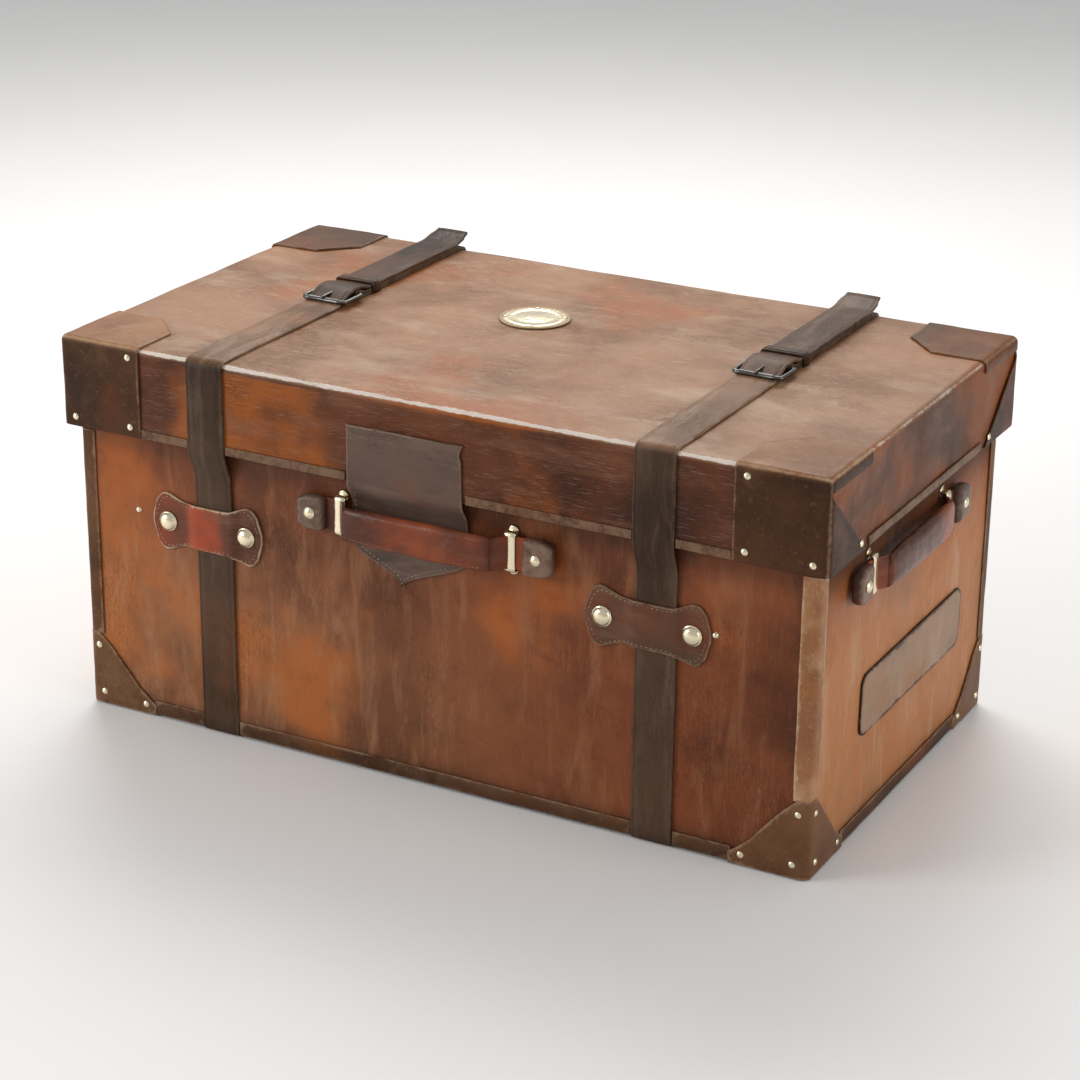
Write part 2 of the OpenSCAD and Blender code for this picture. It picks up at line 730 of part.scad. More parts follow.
case_boards_long();
case_boards_end();
case_board_base();
case_leather_long();
case_leather_end();
case_leather_base();
case_rim_strip();
case_lining();
case_bindings();
case_corner_caps();
case_cap_rivets();
case_straps();
strap_keepers();
keeper_studs();
label_patch();
hinge_leaves_case();
hinge_pins();
hinge_screws_case();
handle_loops_front();
handle_loops_right();
handle_loops_left();
lid_top_board();
lid_top_leather();
lid_boards_long();
lid_boards_end();
lid_leather_long();
lid_leather_end();
lid_rails();
lid_lining();
lid_edge_binding();
lid_corner_caps();
lid_cap_rivets();
lid_straps();
back_straps();
strap_loops();
front_flap();
round_plate();
hinge_leaves_lid();
hinge_screws_lid();
buckle_frame_left();
buckle_frame_right();
buckle_prong_left();
buckle_prong_right();
grip_front();
grip_right();
grip_left();
stop_front_a();
stop_front_b();
stop_right_a();
stop_right_b();
stop_left_a();
stop_left_b();
rivet_front_a();
rivet_front_b();
rivet_right_a();
rivet_right_b();
rivet_left_a();
rivet_left_b();
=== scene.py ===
# %% [markdown]
# # A leather travel trunk
# The trunk is a case of thin boards under stretched leather, with a deep lid that laps over it, two straps
# and three handles. The moving parts, their sizes and their hinges come from the frame, which is loaded
# first. Everything here is the look: skins, straps, threads, brass and the light. All lengths are in metres.
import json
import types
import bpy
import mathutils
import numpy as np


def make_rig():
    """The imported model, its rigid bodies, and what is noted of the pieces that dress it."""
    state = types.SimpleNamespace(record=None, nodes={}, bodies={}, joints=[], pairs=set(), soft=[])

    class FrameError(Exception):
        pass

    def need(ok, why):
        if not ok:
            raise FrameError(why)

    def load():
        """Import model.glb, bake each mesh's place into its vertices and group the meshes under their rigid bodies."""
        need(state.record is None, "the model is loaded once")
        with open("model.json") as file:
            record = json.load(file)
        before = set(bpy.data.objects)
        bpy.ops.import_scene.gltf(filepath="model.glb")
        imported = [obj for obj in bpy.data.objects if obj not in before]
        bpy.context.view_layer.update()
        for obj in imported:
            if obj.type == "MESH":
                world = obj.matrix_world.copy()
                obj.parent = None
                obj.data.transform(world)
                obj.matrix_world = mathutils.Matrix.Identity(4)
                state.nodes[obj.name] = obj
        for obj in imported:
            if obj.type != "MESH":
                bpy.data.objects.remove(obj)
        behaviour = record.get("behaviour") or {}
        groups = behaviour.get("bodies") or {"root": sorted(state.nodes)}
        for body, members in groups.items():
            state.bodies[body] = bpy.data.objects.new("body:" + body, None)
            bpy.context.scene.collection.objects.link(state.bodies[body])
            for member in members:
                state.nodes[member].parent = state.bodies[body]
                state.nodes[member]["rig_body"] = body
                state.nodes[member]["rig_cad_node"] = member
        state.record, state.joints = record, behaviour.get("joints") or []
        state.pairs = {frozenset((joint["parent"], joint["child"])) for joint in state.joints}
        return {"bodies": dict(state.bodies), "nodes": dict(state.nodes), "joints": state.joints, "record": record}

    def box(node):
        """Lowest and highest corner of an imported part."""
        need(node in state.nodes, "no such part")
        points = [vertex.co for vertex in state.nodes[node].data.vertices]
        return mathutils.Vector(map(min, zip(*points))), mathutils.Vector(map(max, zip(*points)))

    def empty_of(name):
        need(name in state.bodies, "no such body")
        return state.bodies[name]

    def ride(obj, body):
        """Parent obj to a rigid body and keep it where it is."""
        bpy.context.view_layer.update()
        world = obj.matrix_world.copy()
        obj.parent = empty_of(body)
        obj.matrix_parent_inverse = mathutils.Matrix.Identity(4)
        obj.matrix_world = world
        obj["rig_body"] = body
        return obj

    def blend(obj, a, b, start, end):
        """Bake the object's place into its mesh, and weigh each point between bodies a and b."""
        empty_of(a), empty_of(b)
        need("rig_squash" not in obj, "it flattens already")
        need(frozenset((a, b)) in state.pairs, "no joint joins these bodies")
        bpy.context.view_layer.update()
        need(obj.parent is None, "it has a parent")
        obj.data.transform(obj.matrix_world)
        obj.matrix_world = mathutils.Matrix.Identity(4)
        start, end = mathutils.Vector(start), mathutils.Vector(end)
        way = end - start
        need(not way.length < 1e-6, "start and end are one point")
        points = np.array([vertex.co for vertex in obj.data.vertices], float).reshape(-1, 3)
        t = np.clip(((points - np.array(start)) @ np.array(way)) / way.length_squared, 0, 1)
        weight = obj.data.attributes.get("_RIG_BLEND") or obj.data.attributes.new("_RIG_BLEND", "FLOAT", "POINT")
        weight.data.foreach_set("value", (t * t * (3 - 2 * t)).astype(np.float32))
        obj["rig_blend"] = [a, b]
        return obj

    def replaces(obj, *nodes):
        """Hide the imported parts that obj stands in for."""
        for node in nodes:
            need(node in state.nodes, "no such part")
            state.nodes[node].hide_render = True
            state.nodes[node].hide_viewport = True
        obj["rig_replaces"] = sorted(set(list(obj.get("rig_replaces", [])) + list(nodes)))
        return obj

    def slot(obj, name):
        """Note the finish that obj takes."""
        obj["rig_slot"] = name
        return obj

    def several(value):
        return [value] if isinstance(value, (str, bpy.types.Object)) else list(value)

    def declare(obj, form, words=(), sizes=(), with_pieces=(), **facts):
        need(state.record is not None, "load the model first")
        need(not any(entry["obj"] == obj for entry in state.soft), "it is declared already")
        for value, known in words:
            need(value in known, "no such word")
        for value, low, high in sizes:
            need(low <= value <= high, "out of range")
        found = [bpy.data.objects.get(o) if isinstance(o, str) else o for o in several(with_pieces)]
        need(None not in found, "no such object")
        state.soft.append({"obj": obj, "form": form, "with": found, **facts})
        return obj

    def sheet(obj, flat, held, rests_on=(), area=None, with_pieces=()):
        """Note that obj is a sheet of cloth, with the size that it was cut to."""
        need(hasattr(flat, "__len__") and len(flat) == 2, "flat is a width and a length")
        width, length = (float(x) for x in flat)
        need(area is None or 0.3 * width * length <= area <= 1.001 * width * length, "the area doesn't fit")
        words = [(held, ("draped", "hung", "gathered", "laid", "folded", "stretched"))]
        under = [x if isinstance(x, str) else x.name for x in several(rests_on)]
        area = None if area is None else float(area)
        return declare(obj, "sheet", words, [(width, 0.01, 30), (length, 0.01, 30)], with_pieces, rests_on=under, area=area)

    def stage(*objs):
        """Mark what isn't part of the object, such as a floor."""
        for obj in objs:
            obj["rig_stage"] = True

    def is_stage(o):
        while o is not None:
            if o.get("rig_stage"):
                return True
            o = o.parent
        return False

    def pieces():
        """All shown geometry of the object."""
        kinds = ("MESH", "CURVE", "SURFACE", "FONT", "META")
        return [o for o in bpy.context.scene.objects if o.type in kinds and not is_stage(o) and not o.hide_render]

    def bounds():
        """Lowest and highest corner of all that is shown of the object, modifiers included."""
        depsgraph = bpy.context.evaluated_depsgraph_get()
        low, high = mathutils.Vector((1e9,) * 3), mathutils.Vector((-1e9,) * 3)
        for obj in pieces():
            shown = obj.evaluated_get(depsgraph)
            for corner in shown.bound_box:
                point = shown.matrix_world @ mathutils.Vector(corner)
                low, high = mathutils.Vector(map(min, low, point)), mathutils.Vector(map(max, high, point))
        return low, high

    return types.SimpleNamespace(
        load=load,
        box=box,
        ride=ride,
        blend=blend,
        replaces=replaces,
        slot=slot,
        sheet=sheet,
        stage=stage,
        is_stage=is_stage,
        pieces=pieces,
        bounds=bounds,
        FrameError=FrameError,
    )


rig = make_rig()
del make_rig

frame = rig.load()

import json
import math

import bmesh
import bpy
from mathutils import Vector, noise

cad_box = [list(corner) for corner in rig.bounds()]
MM = 0.001
print("bodies:", ", ".join(sorted(frame["bodies"])))

# %% [markdown]
# A skin has to lie on the solid under it. The boxes of the solids give the faces that leather lies on, and
# the joints give the axis of the buckles. Typing these again would let the two drift apart. What the boxes
# don't tell, such as the leg of a cap, is a named value in the cell that first needs it.

# %% Sizes read from the frame
case_low, case_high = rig.box("case_leather_long")
lid_low, lid_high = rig.box("lid_leather_long")
CASE_X, CASE_Y = case_high.x, case_high.y
LID_X, LID_Y = lid_high.x, lid_high.y
LID_Z = lid_low.z
TOP_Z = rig.box("lid_top_leather")[1].z
RIM_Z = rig.box("case_rim_strip")[1].z
BASE_Z = case_low.z
strap_low, strap_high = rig.box("case_straps")
STRAP_T = -CASE_Y - strap_low.y
STRAP_W = 42 * MM
STRAP_X = strap_high.x - STRAP_W / 2
STRAP_SIDE = STRAP_W / 2 + 1 * MM
JOIN_Z, BACK_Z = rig.box("lid_straps")[0].z, strap_high.z
heel = next(Vector(j["pos_m"]) for j in frame["joints"] if j["name"] == "buckle_frame_right_hinge")
FRAME_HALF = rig.box("buckle_frame_right")[1].x - heel.x
FRONT_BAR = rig.box("buckle_frame_right")[0].y
HANDLE_Z = sum(c.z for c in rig.box("grip_front")) / 2
print("case", round(CASE_X * 2, 3), "x", round(CASE_Y * 2, 3), "lid", round(LID_X * 2, 3), "top", TOP_Z)

# %% [markdown]
# ## Shader sums
# A material is easier to read when its sums look like sums. `Wire` stands for one output of a node, and its
# operators add Math nodes. `Finish` holds a material and has the one method that makes any other node.

# %% A socket that can be added and multiplied
class Wire:
    def __init__(self, finish, socket):
        self.finish, self.socket = finish, socket

    def sum(self, operation, *values):
        sockets = dict(enumerate(values))
        return self.finish.node("ShaderNodeMath", {"operation": operation}, sockets)

    def __add__(self, other):
        return self.sum("ADD", self, other)

    def __sub__(self, other):
        return self.sum("SUBTRACT", self, other)

    def __rsub__(self, other):
        return self.sum("SUBTRACT", other, self)

    def __mul__(self, other):
        return self.sum("MULTIPLY", self, other)

    __radd__, __rmul__ = __add__, __mul__

    def between(self, low, high):
        """0 below low, 1 above high and an S-curve between them."""
        values = {"Value": self, "From Min": low, "From Max": high}
        return self.finish.node("ShaderNodeMapRange", {"interpolation_type": "SMOOTHSTEP"}, values)

print("a Wire can be added, subtracted and multiplied")

# %% [markdown]
# A material is a small network of nodes. It could be wired by hand in the editor, but eight leathers share
# the same network, so a class that adds one node per call keeps them alike. Patterns are laid by the place
# on the object, so no mesh needs to be unwrapped.

# %% A material and its nodes
class Finish:
    def __init__(self, name):
        self.mat = bpy.data.materials.new(name)
        self.mat.use_nodes = True
        self.tree = self.mat.node_tree
        self.tree.nodes.clear()

    def node(self, kind, settings=None, sockets=None, out=0):
        made = self.tree.nodes.new(kind)
        for key, value in (settings or {}).items():
            setattr(made, key, value)
        for key, value in (sockets or {}).items():
            if isinstance(value, Wire):
                self.tree.links.new(value.socket, made.inputs[key])
            else:
                made.inputs[key].default_value = value
        return Wire(self, made.outputs[out])

    def place(self, stretch=(1, 1, 1), shift=(0, 0, 0)):
        """The point on the object, stretched and moved before a pattern is laid on it."""
        at = self.node("ShaderNodeTexCoord", out="Object")
        at = self.node("ShaderNodeVectorMath", {"operation": "MULTIPLY"}, {0: at, 1: stretch})
        return self.node("ShaderNodeVectorMath", {"operation": "ADD"}, {0: at, 1: shift})

    def noise(self, at, scale, detail=4.0, rough=0.55, bend=0.0):
        values = {"Vector": at, "Scale": scale, "Detail": detail, "Roughness": rough, "Distortion": bend}
        return self.node("ShaderNodeTexNoise", {}, values)

    def cells(self, at, scale, feature="F1"):
        return self.node("ShaderNodeTexVoronoi", {"feature": feature}, {"Vector": at, "Scale": scale})

    def bent(self, at, scale, much):
        """The same place, pushed about by a noise, so that lines laid on it wander."""
        push = self.node("ShaderNodeTexNoise", {}, {"Vector": at, "Scale": scale}, out="Color")
        push = self.node("ShaderNodeVectorMath", {"operation": "SUBTRACT"}, {0: push, 1: (0.5, 0.5, 0.5)})
        push = self.node("ShaderNodeVectorMath", {"operation": "MULTIPLY"}, {0: push, 1: (much,) * 3})
        return self.node("ShaderNodeVectorMath", {"operation": "ADD"}, {0: at, 1: push})

    def painted(self, name):
        """A value painted on the mesh, 0 where nothing was painted."""
        return self.node("ShaderNodeAttribute", {"attribute_name": name}, out="Fac")

    def mix(self, share, one, other):
        made = {"data_type": "RGBA", "clamp_factor": True}
        one, other = [c if isinstance(c, Wire) else (*c, 1.0) for c in (one, other)]
        return self.node("ShaderNodeMix", made, {0: share, 6: one, 7: other}, out=2)

    def bump(self, height, depth, under=None):
        values = {"Height": height, "Distance": depth, "Strength": 1.0}
        if under is not None:
            values["Normal"] = under
        return self.node("ShaderNodeBump", {}, values)

    def surface(self, **sockets):
        named = {key.replace("_", " "): value for key, value in sockets.items()}
        shader = self.node("ShaderNodeBsdfPrincipled", {}, named)
        end = self.tree.nodes.new("ShaderNodeOutputMaterial")
        self.tree.links.new(shader.socket, end.inputs["Surface"])

print("a Finish has:", ", ".join(n for n in vars(Finish) if not n.startswith("_")))

# %% [markdown]
# ## Leather
# Old leather has a ground colour that drifts in clouds, paler streaks where it was handled, fine cracks,
# scratches, and a pebbled grain. Its edges are rubbed pale and smooth, and its corners gather dirt. One
# function makes all the trunk's leathers from five tones. The rubbed and dirty parts are painted on each
# mesh as a wear value and a dirt value, because only the shape knows where its edges are. The wear value
# also carries a painted highlight on the lid's front edge, and the dirt value a painted shade under the lid.

# %% One leather, made from five tones
def leather(name, tones, pale=None, streak=(1, 1, 6), gloss=0.42, grain=1.0, warm_at=0.52, rub=1.0,
            shine=0.2):
    """tones are dark, mid, light, warm and rubbed. pale holds the same five where "pale" was painted."""
    f = Finish(name)
    here = f.place()
    share = f.painted("pale") if pale else None
    dark, mid, light, warm, rubbed_and_highlight = [
        f.mix(share, one, other) if pale else one for one, other in zip(tones, pale or tones)]
    cloud = f.noise(here, 5.5, 6, 0.6)
    drift = f.noise(f.place(streak, (1.3, 0.4, 2.2)), 9, 6, 0.62, 0.5)
    hot = f.noise(f.place(shift=(3.1, 1.7, 0.6)), 4.5, 4, 0.55)
    speck = f.noise(here, 210, 3, 0.7)
    smudge = f.noise(here, 34, 5, 0.65, 0.8)
    scratch = f.noise(f.bent(f.place(tuple(7 * s * s for s in streak)), 3, 0.3), 8, 2, 0.4)
    crack = f.cells(f.bent(f.place(streak), 40, 0.05), 55, "DISTANCE_TO_EDGE")
    cracked = f.noise(f.place(shift=(5.2, 2.2, 1.1)), 9, 3).between(0.5, 0.62)
    pebble = f.cells(f.bent(here, 300, 0.0008), 620)
    wear, dirt = f.painted("wear"), f.painted("dirt")

    colour = f.mix(cloud.between(0.38, 0.62), dark, mid)
    colour = f.mix((hot + f.painted("warm") * 0.16).between(warm_at, warm_at + 0.13) * 0.85, colour, warm)
    colour = f.mix(drift.between(0.48, 0.72) * 0.6, colour, light)
    colour = f.mix(smudge.between(0.52, 0.8) * 0.45, colour, dark)
    colour = f.mix(speck.between(0.55, 0.75) * 0.22, colour, light)
    lines = scratch.between(0.63, 0.7) * 0.28
    colour = f.mix(lines, colour, f.mix(0.35, light, rubbed_and_highlight))
    gaps = (1 - crack.between(0.0, 0.05)) * cracked
    colour = f.mix(gaps * 0.35, colour, f.mix(0.7, dark, (0.01, 0.006, 0.004)))
    worn_and_highlight = (wear + (smudge - 0.5) * 1.3 + (speck - 0.5) * 0.7).between(0.62, 1.15) * rub
    colour = f.mix(worn_and_highlight, colour, rubbed_and_highlight)
    # The dirt value darkens real dirt, and also a painted shade under the lid's overhang.
    grime_and_shade = (dirt * (0.6 + cloud * 0.8)).between(0.05, 0.95)
    colour = f.mix(grime_and_shade * 0.85, colour, f.mix(0.75, dark, (0.012, 0.008, 0.006)))

    rough = gloss + (cloud - 0.5) * 0.3 + (smudge - 0.5) * 0.25 - worn_and_highlight * 0.06 + grime_and_shade * 0.2 + lines * 0.1
    normal = f.bump(f.noise(here, 20, 4, 0.5), 2.2 * MM)
    normal = f.bump(gaps * -1 + lines * -0.4, 0.2 * MM, normal)
    normal = f.bump(pebble, 0.2 * MM * grain, normal)
    f.surface(Base_Color=colour, Roughness=rough, Normal=normal, Specular_IOR_Level=shine)
    return f

print("leather is made from five tones, and is painted with wear, dirt, pale and warm")

# %% [markdown]
# The front is red-brown, the ends and the lid's top have faded to tan, and straps, caps and flap are darker.
# Each leather is one call with its own tones and direction of streaks. Two materials on one skin would show
# a seam, so where a skin goes from red to tan, two rows of tones meet at a painted border.

# %% The trunk's leathers
# Each row is dark, mid, light, warm, rubbed.
# In lid_front the near-white rubbed tone is wear plus a painted highlight.
mahogany = ((0.085, 0.022, 0.007), (0.19, 0.05, 0.015), (0.28, 0.11, 0.048),
            (0.37, 0.095, 0.016), (0.34, 0.18, 0.10))
tan_end = ((0.26, 0.11, 0.048), (0.40, 0.20, 0.096), (0.48, 0.29, 0.165),
           (0.42, 0.15, 0.04), (0.52, 0.35, 0.22))
lid_front = ((0.05, 0.016, 0.008), (0.115, 0.034, 0.013), (0.18, 0.075, 0.04),
             (0.32, 0.085, 0.012), (0.88, 0.79, 0.72))
lid_top = ((0.24, 0.11, 0.05), (0.38, 0.20, 0.11), (0.48, 0.33, 0.22),
           (0.38, 0.125, 0.04), (0.74, 0.64, 0.56))
strap_dark = ((0.036, 0.019, 0.011), (0.078, 0.043, 0.025), (0.135, 0.085, 0.055),
              (0.11, 0.045, 0.019), (0.17, 0.11, 0.07))
strap_pale = ((0.16, 0.08, 0.042), (0.30, 0.165, 0.095), (0.42, 0.28, 0.18),
              (0.32, 0.12, 0.045), (0.44, 0.33, 0.24))
cap_dark = ((0.036, 0.014, 0.006), (0.08, 0.031, 0.012), (0.13, 0.062, 0.033),
            (0.17, 0.046, 0.01), (0.22, 0.13, 0.08))
keeper_red = ((0.07, 0.022, 0.012), (0.13, 0.04, 0.02), (0.20, 0.09, 0.05),
              (0.40, 0.06, 0.02), (0.50, 0.36, 0.24))
flap_dark = ((0.06, 0.034, 0.025), (0.115, 0.07, 0.052), (0.19, 0.125, 0.094),
             (0.22, 0.05, 0.022), (0.24, 0.16, 0.11))
grip_red = ((0.06, 0.018, 0.01), (0.13, 0.036, 0.018), (0.20, 0.08, 0.045),
            (0.34, 0.07, 0.02), (0.26, 0.15, 0.10))
patch_tan = ((0.22, 0.13, 0.08), (0.32, 0.20, 0.13), (0.40, 0.28, 0.19),
             (0.34, 0.16, 0.07), (0.035, 0.016, 0.009))

hide_case = leather("hide_case", mahogany, tan_end, streak=(5, 5, 1))
hide_lid = leather("hide_lid", lid_front, lid_top, streak=(1, 2.5, 6), gloss=0.36, shine=0.14)
strap_hide = leather("strap_hide", strap_dark, strap_pale, streak=(6, 1, 1), gloss=0.4, grain=0.7, rub=0.7,
                     shine=0.12)
cap_hide = leather("cap_hide", cap_dark, tan_end, streak=(2, 2, 2), grain=0.8, rub=0.8, shine=0.12)
keeper_hide = leather("keeper_hide", keeper_red, strap_dark, gloss=0.38, grain=0.8, warm_at=0.46)
flap_hide = leather("flap_hide", flap_dark, streak=(1, 1, 5), gloss=0.36, rub=0.8)
grip_hide = leather("grip_hide", grip_red, gloss=0.3, grain=0.6, warm_at=0.48, rub=0.7)
patch_hide = leather("patch_hide", patch_tan, streak=(1, 3, 1), gloss=0.45, rub=2.0)
print("leathers:", sum("hide" in m.name for m in bpy.data.materials))

# %% [markdown]
# ## Brass, iron, wood, cloth and thread
# The brass is pale where hands and other luggage polish it and brown in its hollows. The buckles are
# blackened iron. Wood shows inside the lid, and a plain weave lines the case.

# %% Metals
def metal(name, bright, dull, rough, spots=0.55):
    f = Finish(name)
    here = f.place()
    stain = f.noise(here, 60, 5, 0.65)
    fine = f.noise(here, 420, 3, 0.6)
    dirt = f.painted("dirt")
    dark = ((stain - 0.5) * 0.9 + (fine - 0.5) * 0.5 + dirt * 0.9 + 0.3).between(spots, spots + 0.3)
    colour = f.mix(dark * 0.85, bright, dull)
    normal = f.bump(f.noise(here, 150, 3), 0.3 * MM, f.bump(fine, 0.1 * MM))
    f.surface(Base_Color=colour, Roughness=rough + dark * 0.3, Metallic=1 - dark * 0.5, Normal=normal)
    return f

brass = metal("brass", (0.86, 0.76, 0.54), (0.20, 0.12, 0.05), 0.24)
iron = metal("dark_iron", (0.13, 0.125, 0.12), (0.06, 0.03, 0.018), 0.3, 0.5)
print("metals:", brass.mat.name, "and", iron.mat.name)

# %% [markdown]
# The boards are pale softwood, seen only inside the lid. The lining is a plain cotton weave, and the thread
# is the same weave made finer. A weave could be modelled thread by thread, but cells in the shader look the
# same at this size and add no faces.

# %% Wood, lining and thread
def wood():
    f = Finish("board_wood")
    rings = f.noise(f.bent(f.place((1.2, 12, 12)), 2, 0.3), 9, 5, 0.6)
    pores = f.noise(f.place((20, 300, 300)), 4, 2)
    colour = f.mix(rings.between(0.35, 0.65), (0.33, 0.20, 0.10), (0.52, 0.36, 0.20))
    colour = f.mix(pores.between(0.6, 0.75) * 0.5, colour, (0.16, 0.09, 0.045))
    f.surface(Base_Color=colour, Roughness=0.62 + rings * 0.15, Normal=f.bump(pores, 0.3 * MM))
    return f

def weave(name, pale, deep, pitch):
    f = Finish(name)
    here = f.place()
    knots = f.cells(f.bent(here, 90, 0.002), 1 / pitch)
    stain = f.noise(here, 6, 6, 0.6)
    colour = f.mix(stain.between(0.45, 0.7), pale, deep)
    colour = f.mix(knots.between(0.3, 0.9) * 0.4, colour, tuple(0.5 * c for c in deep))
    f.surface(Base_Color=colour, Roughness=0.85 + stain * 0.1, Normal=f.bump(knots * -1, 0.3 * MM))
    return f

board_wood = wood()
lining_cloth = weave("lining_cloth", (0.50, 0.43, 0.31), (0.36, 0.28, 0.17), 1.4 * MM)
thread = weave("thread", (0.46, 0.36, 0.23), (0.24, 0.17, 0.10), 0.5 * MM)
print("also:", board_wood.mat.name, lining_cloth.mat.name, thread.mat.name)

# %% [markdown]
# Boards, hinges and rivets are stiff and already have their true shape in the frame. They could be modelled
# again, but a second copy would only be able to get it wrong, so they get a finish and nothing else.

# %% Finishes for the solids that show
kept_solids = {
    "case_boards_long": board_wood, "case_boards_end": board_wood, "case_board_base": board_wood,
    "lid_top_board": board_wood, "lid_boards_long": board_wood, "lid_boards_end": board_wood,
    "lid_rails": board_wood, "hinge_leaves_case": brass, "hinge_leaves_lid": brass, "hinge_pins": brass,
    "hinge_screws_case": brass, "hinge_screws_lid": brass, "case_cap_rivets": brass,
    "lid_cap_rivets": brass, "rivet_front_a": brass, "rivet_front_b": brass, "rivet_right_a": brass,
    "rivet_right_b": brass, "rivet_left_a": brass, "rivet_left_b": brass,
}
for node, finish in kept_solids.items():
    bpy.data.objects[node].data.materials.clear()
    bpy.data.objects[node].data.materials.append(finish.mat)
print("solids kept with a finish:", len(kept_solids))

# %% [markdown]
# ## Shaping tools
# Every skin starts as a plain block or outline that is cut into a fine grid. The grid lets a rounded corner,
# a fold over a strap and the dents of a long life be pressed into it. Straps and bars are a section carried
# along a path. Studs are turned, as they would be on a lathe.

# %% Grids and paint
def marks(low, high, step, extra=()):
    count = max(1, round((high - low) / step))
    even = [low + (high - low) * i / count for i in range(1, count)]
    even = [m for m in even if all(abs(m - e) > 0.3 * step for e in extra)]
    return even + [e for e in extra if low < e < high]

def slice_at(bm, axis, places):
    normal = Vector([float(i == axis) for i in range(3)])
    for place in places:
        everything = bm.verts[:] + bm.edges[:] + bm.faces[:]
        bmesh.ops.bisect_plane(bm, geom=everything, dist=1e-6, plane_co=normal * place, plane_no=normal)

def paint(bm, name, value):
    layer = bm.verts.layers.float.get(name) or bm.verts.layers.float.new(name)
    for v in bm.verts:
        v[layer] = value(v.co)

def dent(bm, depth, size, seed, sink=0.5):
    """Push the surface in and out along its normals, a little more in than out."""
    bm.normal_update()
    shift = Vector((seed * 7.1, seed * 3.3, seed * 1.7))
    moves = []
    for v in bm.verts:
        at = v.co / size + shift
        wave = noise.noise(at) + 0.5 * noise.noise(at * 2.3) + 0.25 * noise.noise(at * 5.1)
        moves.append(v.normal * depth * (wave - sink))
    for v, move in zip(bm.verts, moves):
        v.co += move

def fade(value, low, high):
    t = min(max((value - low) / (high - low), 0), 1)
    return t * t * (3 - 2 * t)

print("cuts in 10 cm:", len(marks(0, 100 * MM, 10 * MM)), "and fade at a quarter:", fade(0.25, 0, 1))

# %% [markdown]
# A piece is a finished mesh with one material that moves with one body of the trunk. It could be set up each
# time by hand, but doing it in one place means that no piece is forgotten. Thin skins are open sheets, and a
# Solidify modifier gives them their thickness.

# %% From a mesh to a piece that rides on a body
def piece(name, bm, finish, body, nodes=(), slot=None, thick=0.0, solid=True):
    if solid:
        bmesh.ops.recalc_face_normals(bm, faces=bm.faces)
    mesh = bpy.data.meshes.new(name)
    bm.to_mesh(mesh)
    bm.free()
    mesh.materials.append(finish.mat)
    mesh.polygons.foreach_set("use_smooth", [True] * len(mesh.polygons))
    made = bpy.data.objects.new(name, mesh)
    bpy.context.scene.collection.objects.link(made)
    if thick:
        shell = made.modifiers.new("thickness", "SOLIDIFY")
        shell.thickness, shell.offset = thick, -1
    if body:
        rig.ride(made, body)
    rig.replaces(made, *nodes)
    if slot:
        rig.slot(made, slot)
    print(name + ":", len(mesh.polygons), "faces, on", body or "two bodies")
    return made

def join(parts):
    """Several meshes in one, so that a row of like things is one piece."""
    whole = bmesh.new()
    for part in parts:
        mesh = bpy.data.meshes.new("part")
        part.to_mesh(mesh)
        part.free()
        whole.from_mesh(mesh)
        bpy.data.meshes.remove(mesh)
    return whole

print("each piece will print its faces and its body")

# %% [markdown]
# A hide on a box is flat almost everywhere and curved only at its edges. A Bevel modifier could round it,
# but a grid that is close at the edges and wide elsewhere can also be painted and dented.

# %% A block with rounded edges
def block(low, high, cell, r):
    bm = bmesh.new()
    bmesh.ops.create_cube(bm, size=1)
    for v in bm.verts:
        v.co = [low[i] if v.co[i] < 0 else high[i] for i in range(3)]
    for axis in range(3):
        near = [r * k for k in (0.2, 0.45, 0.7, 1.0, 1.5)]
        ends = [low[axis] + n for n in near] + [high[axis] - n for n in near]
        slice_at(bm, axis, marks(low[axis], high[axis], cell, ends))
    return bm

def soften(bm, low, high, r, sharp=()):
    """Round the block's edges. sharp holds the ends, such as "-z", that are left as they are."""
    floor = [low[i] + (r if "-" + "xyz"[i] not in sharp else -1) for i in range(3)]
    roof = [high[i] - (r if "+" + "xyz"[i] not in sharp else -1) for i in range(3)]
    for v in bm.verts:
        core = Vector([min(max(v.co[i], floor[i]), roof[i]) for i in range(3)])
        out = v.co - core
        if out.length > 1e-9:
            v.co = core + out * (r / out.length)

def drop(bm, test):
    gone = [f for f in bm.faces if test(f.calc_center_median(), f.normal)]
    bmesh.ops.delete(bm, geom=gone, context="FACES")

sample = block(Vector((0, 0, 0)), Vector((0.1, 0.1, 0.1)), 20 * MM, 5 * MM)
print("a 10 cm block has", len(sample.faces), "faces")
sample.free()

# %% [markdown]
# Bindings, caps, keepers, flap and label are all cut from flat leather, so they are made like that: an
# outline gets its thickness and a rounded rim, is sliced into a grid, and is then laid on the trunk by a
# function. The distance to the outline becomes the worn rim.

# %% A flat piece of leather
def patch(outline, thick, cell, place, edge=0.8 * MM, reach=7 * MM, extra=((), ())):
    """A piece of leather of the given outline, with rounded rims, laid where place() puts it."""
    bm = bmesh.new()
    base = bm.faces.new([bm.verts.new((u, v, 0)) for u, v in outline])
    made = bmesh.ops.extrude_face_region(bm, geom=[base])["geom"]
    raised = [g for g in made if isinstance(g, bmesh.types.BMVert)]
    bmesh.ops.translate(bm, vec=(0, 0, thick), verts=raised)
    rim = [e for e in bm.edges if all(v.co.z > thick / 2 for v in e.verts)]
    bmesh.ops.bevel(bm, geom=rim, offset=edge, segments=3, profile=0.5, affect="EDGES")
    for axis in (0, 1):
        side = [p[axis] for p in outline]
        slice_at(bm, axis, marks(min(side), max(side), cell, extra[axis]))
    corners = [Vector(p) for p in outline]
    lines = [(a, b - a) for a, b in zip(corners, corners[1:] + corners[:1])]

    def from_rim(co):
        at = Vector((co.x, co.y))
        gaps = []
        for start, way in lines:
            t = min(max((at - start).dot(way) / max(way.length_squared, 1e-12), 0), 1)
            gaps.append((at - start - way * t).length)
        return min(gaps)

    paint(bm, "wear", lambda co: 1 - fade(from_rim(co), 0, reach))
    for v in bm.verts:
        v.co = place(v.co.x, v.co.y, v.co.z)
    return bm

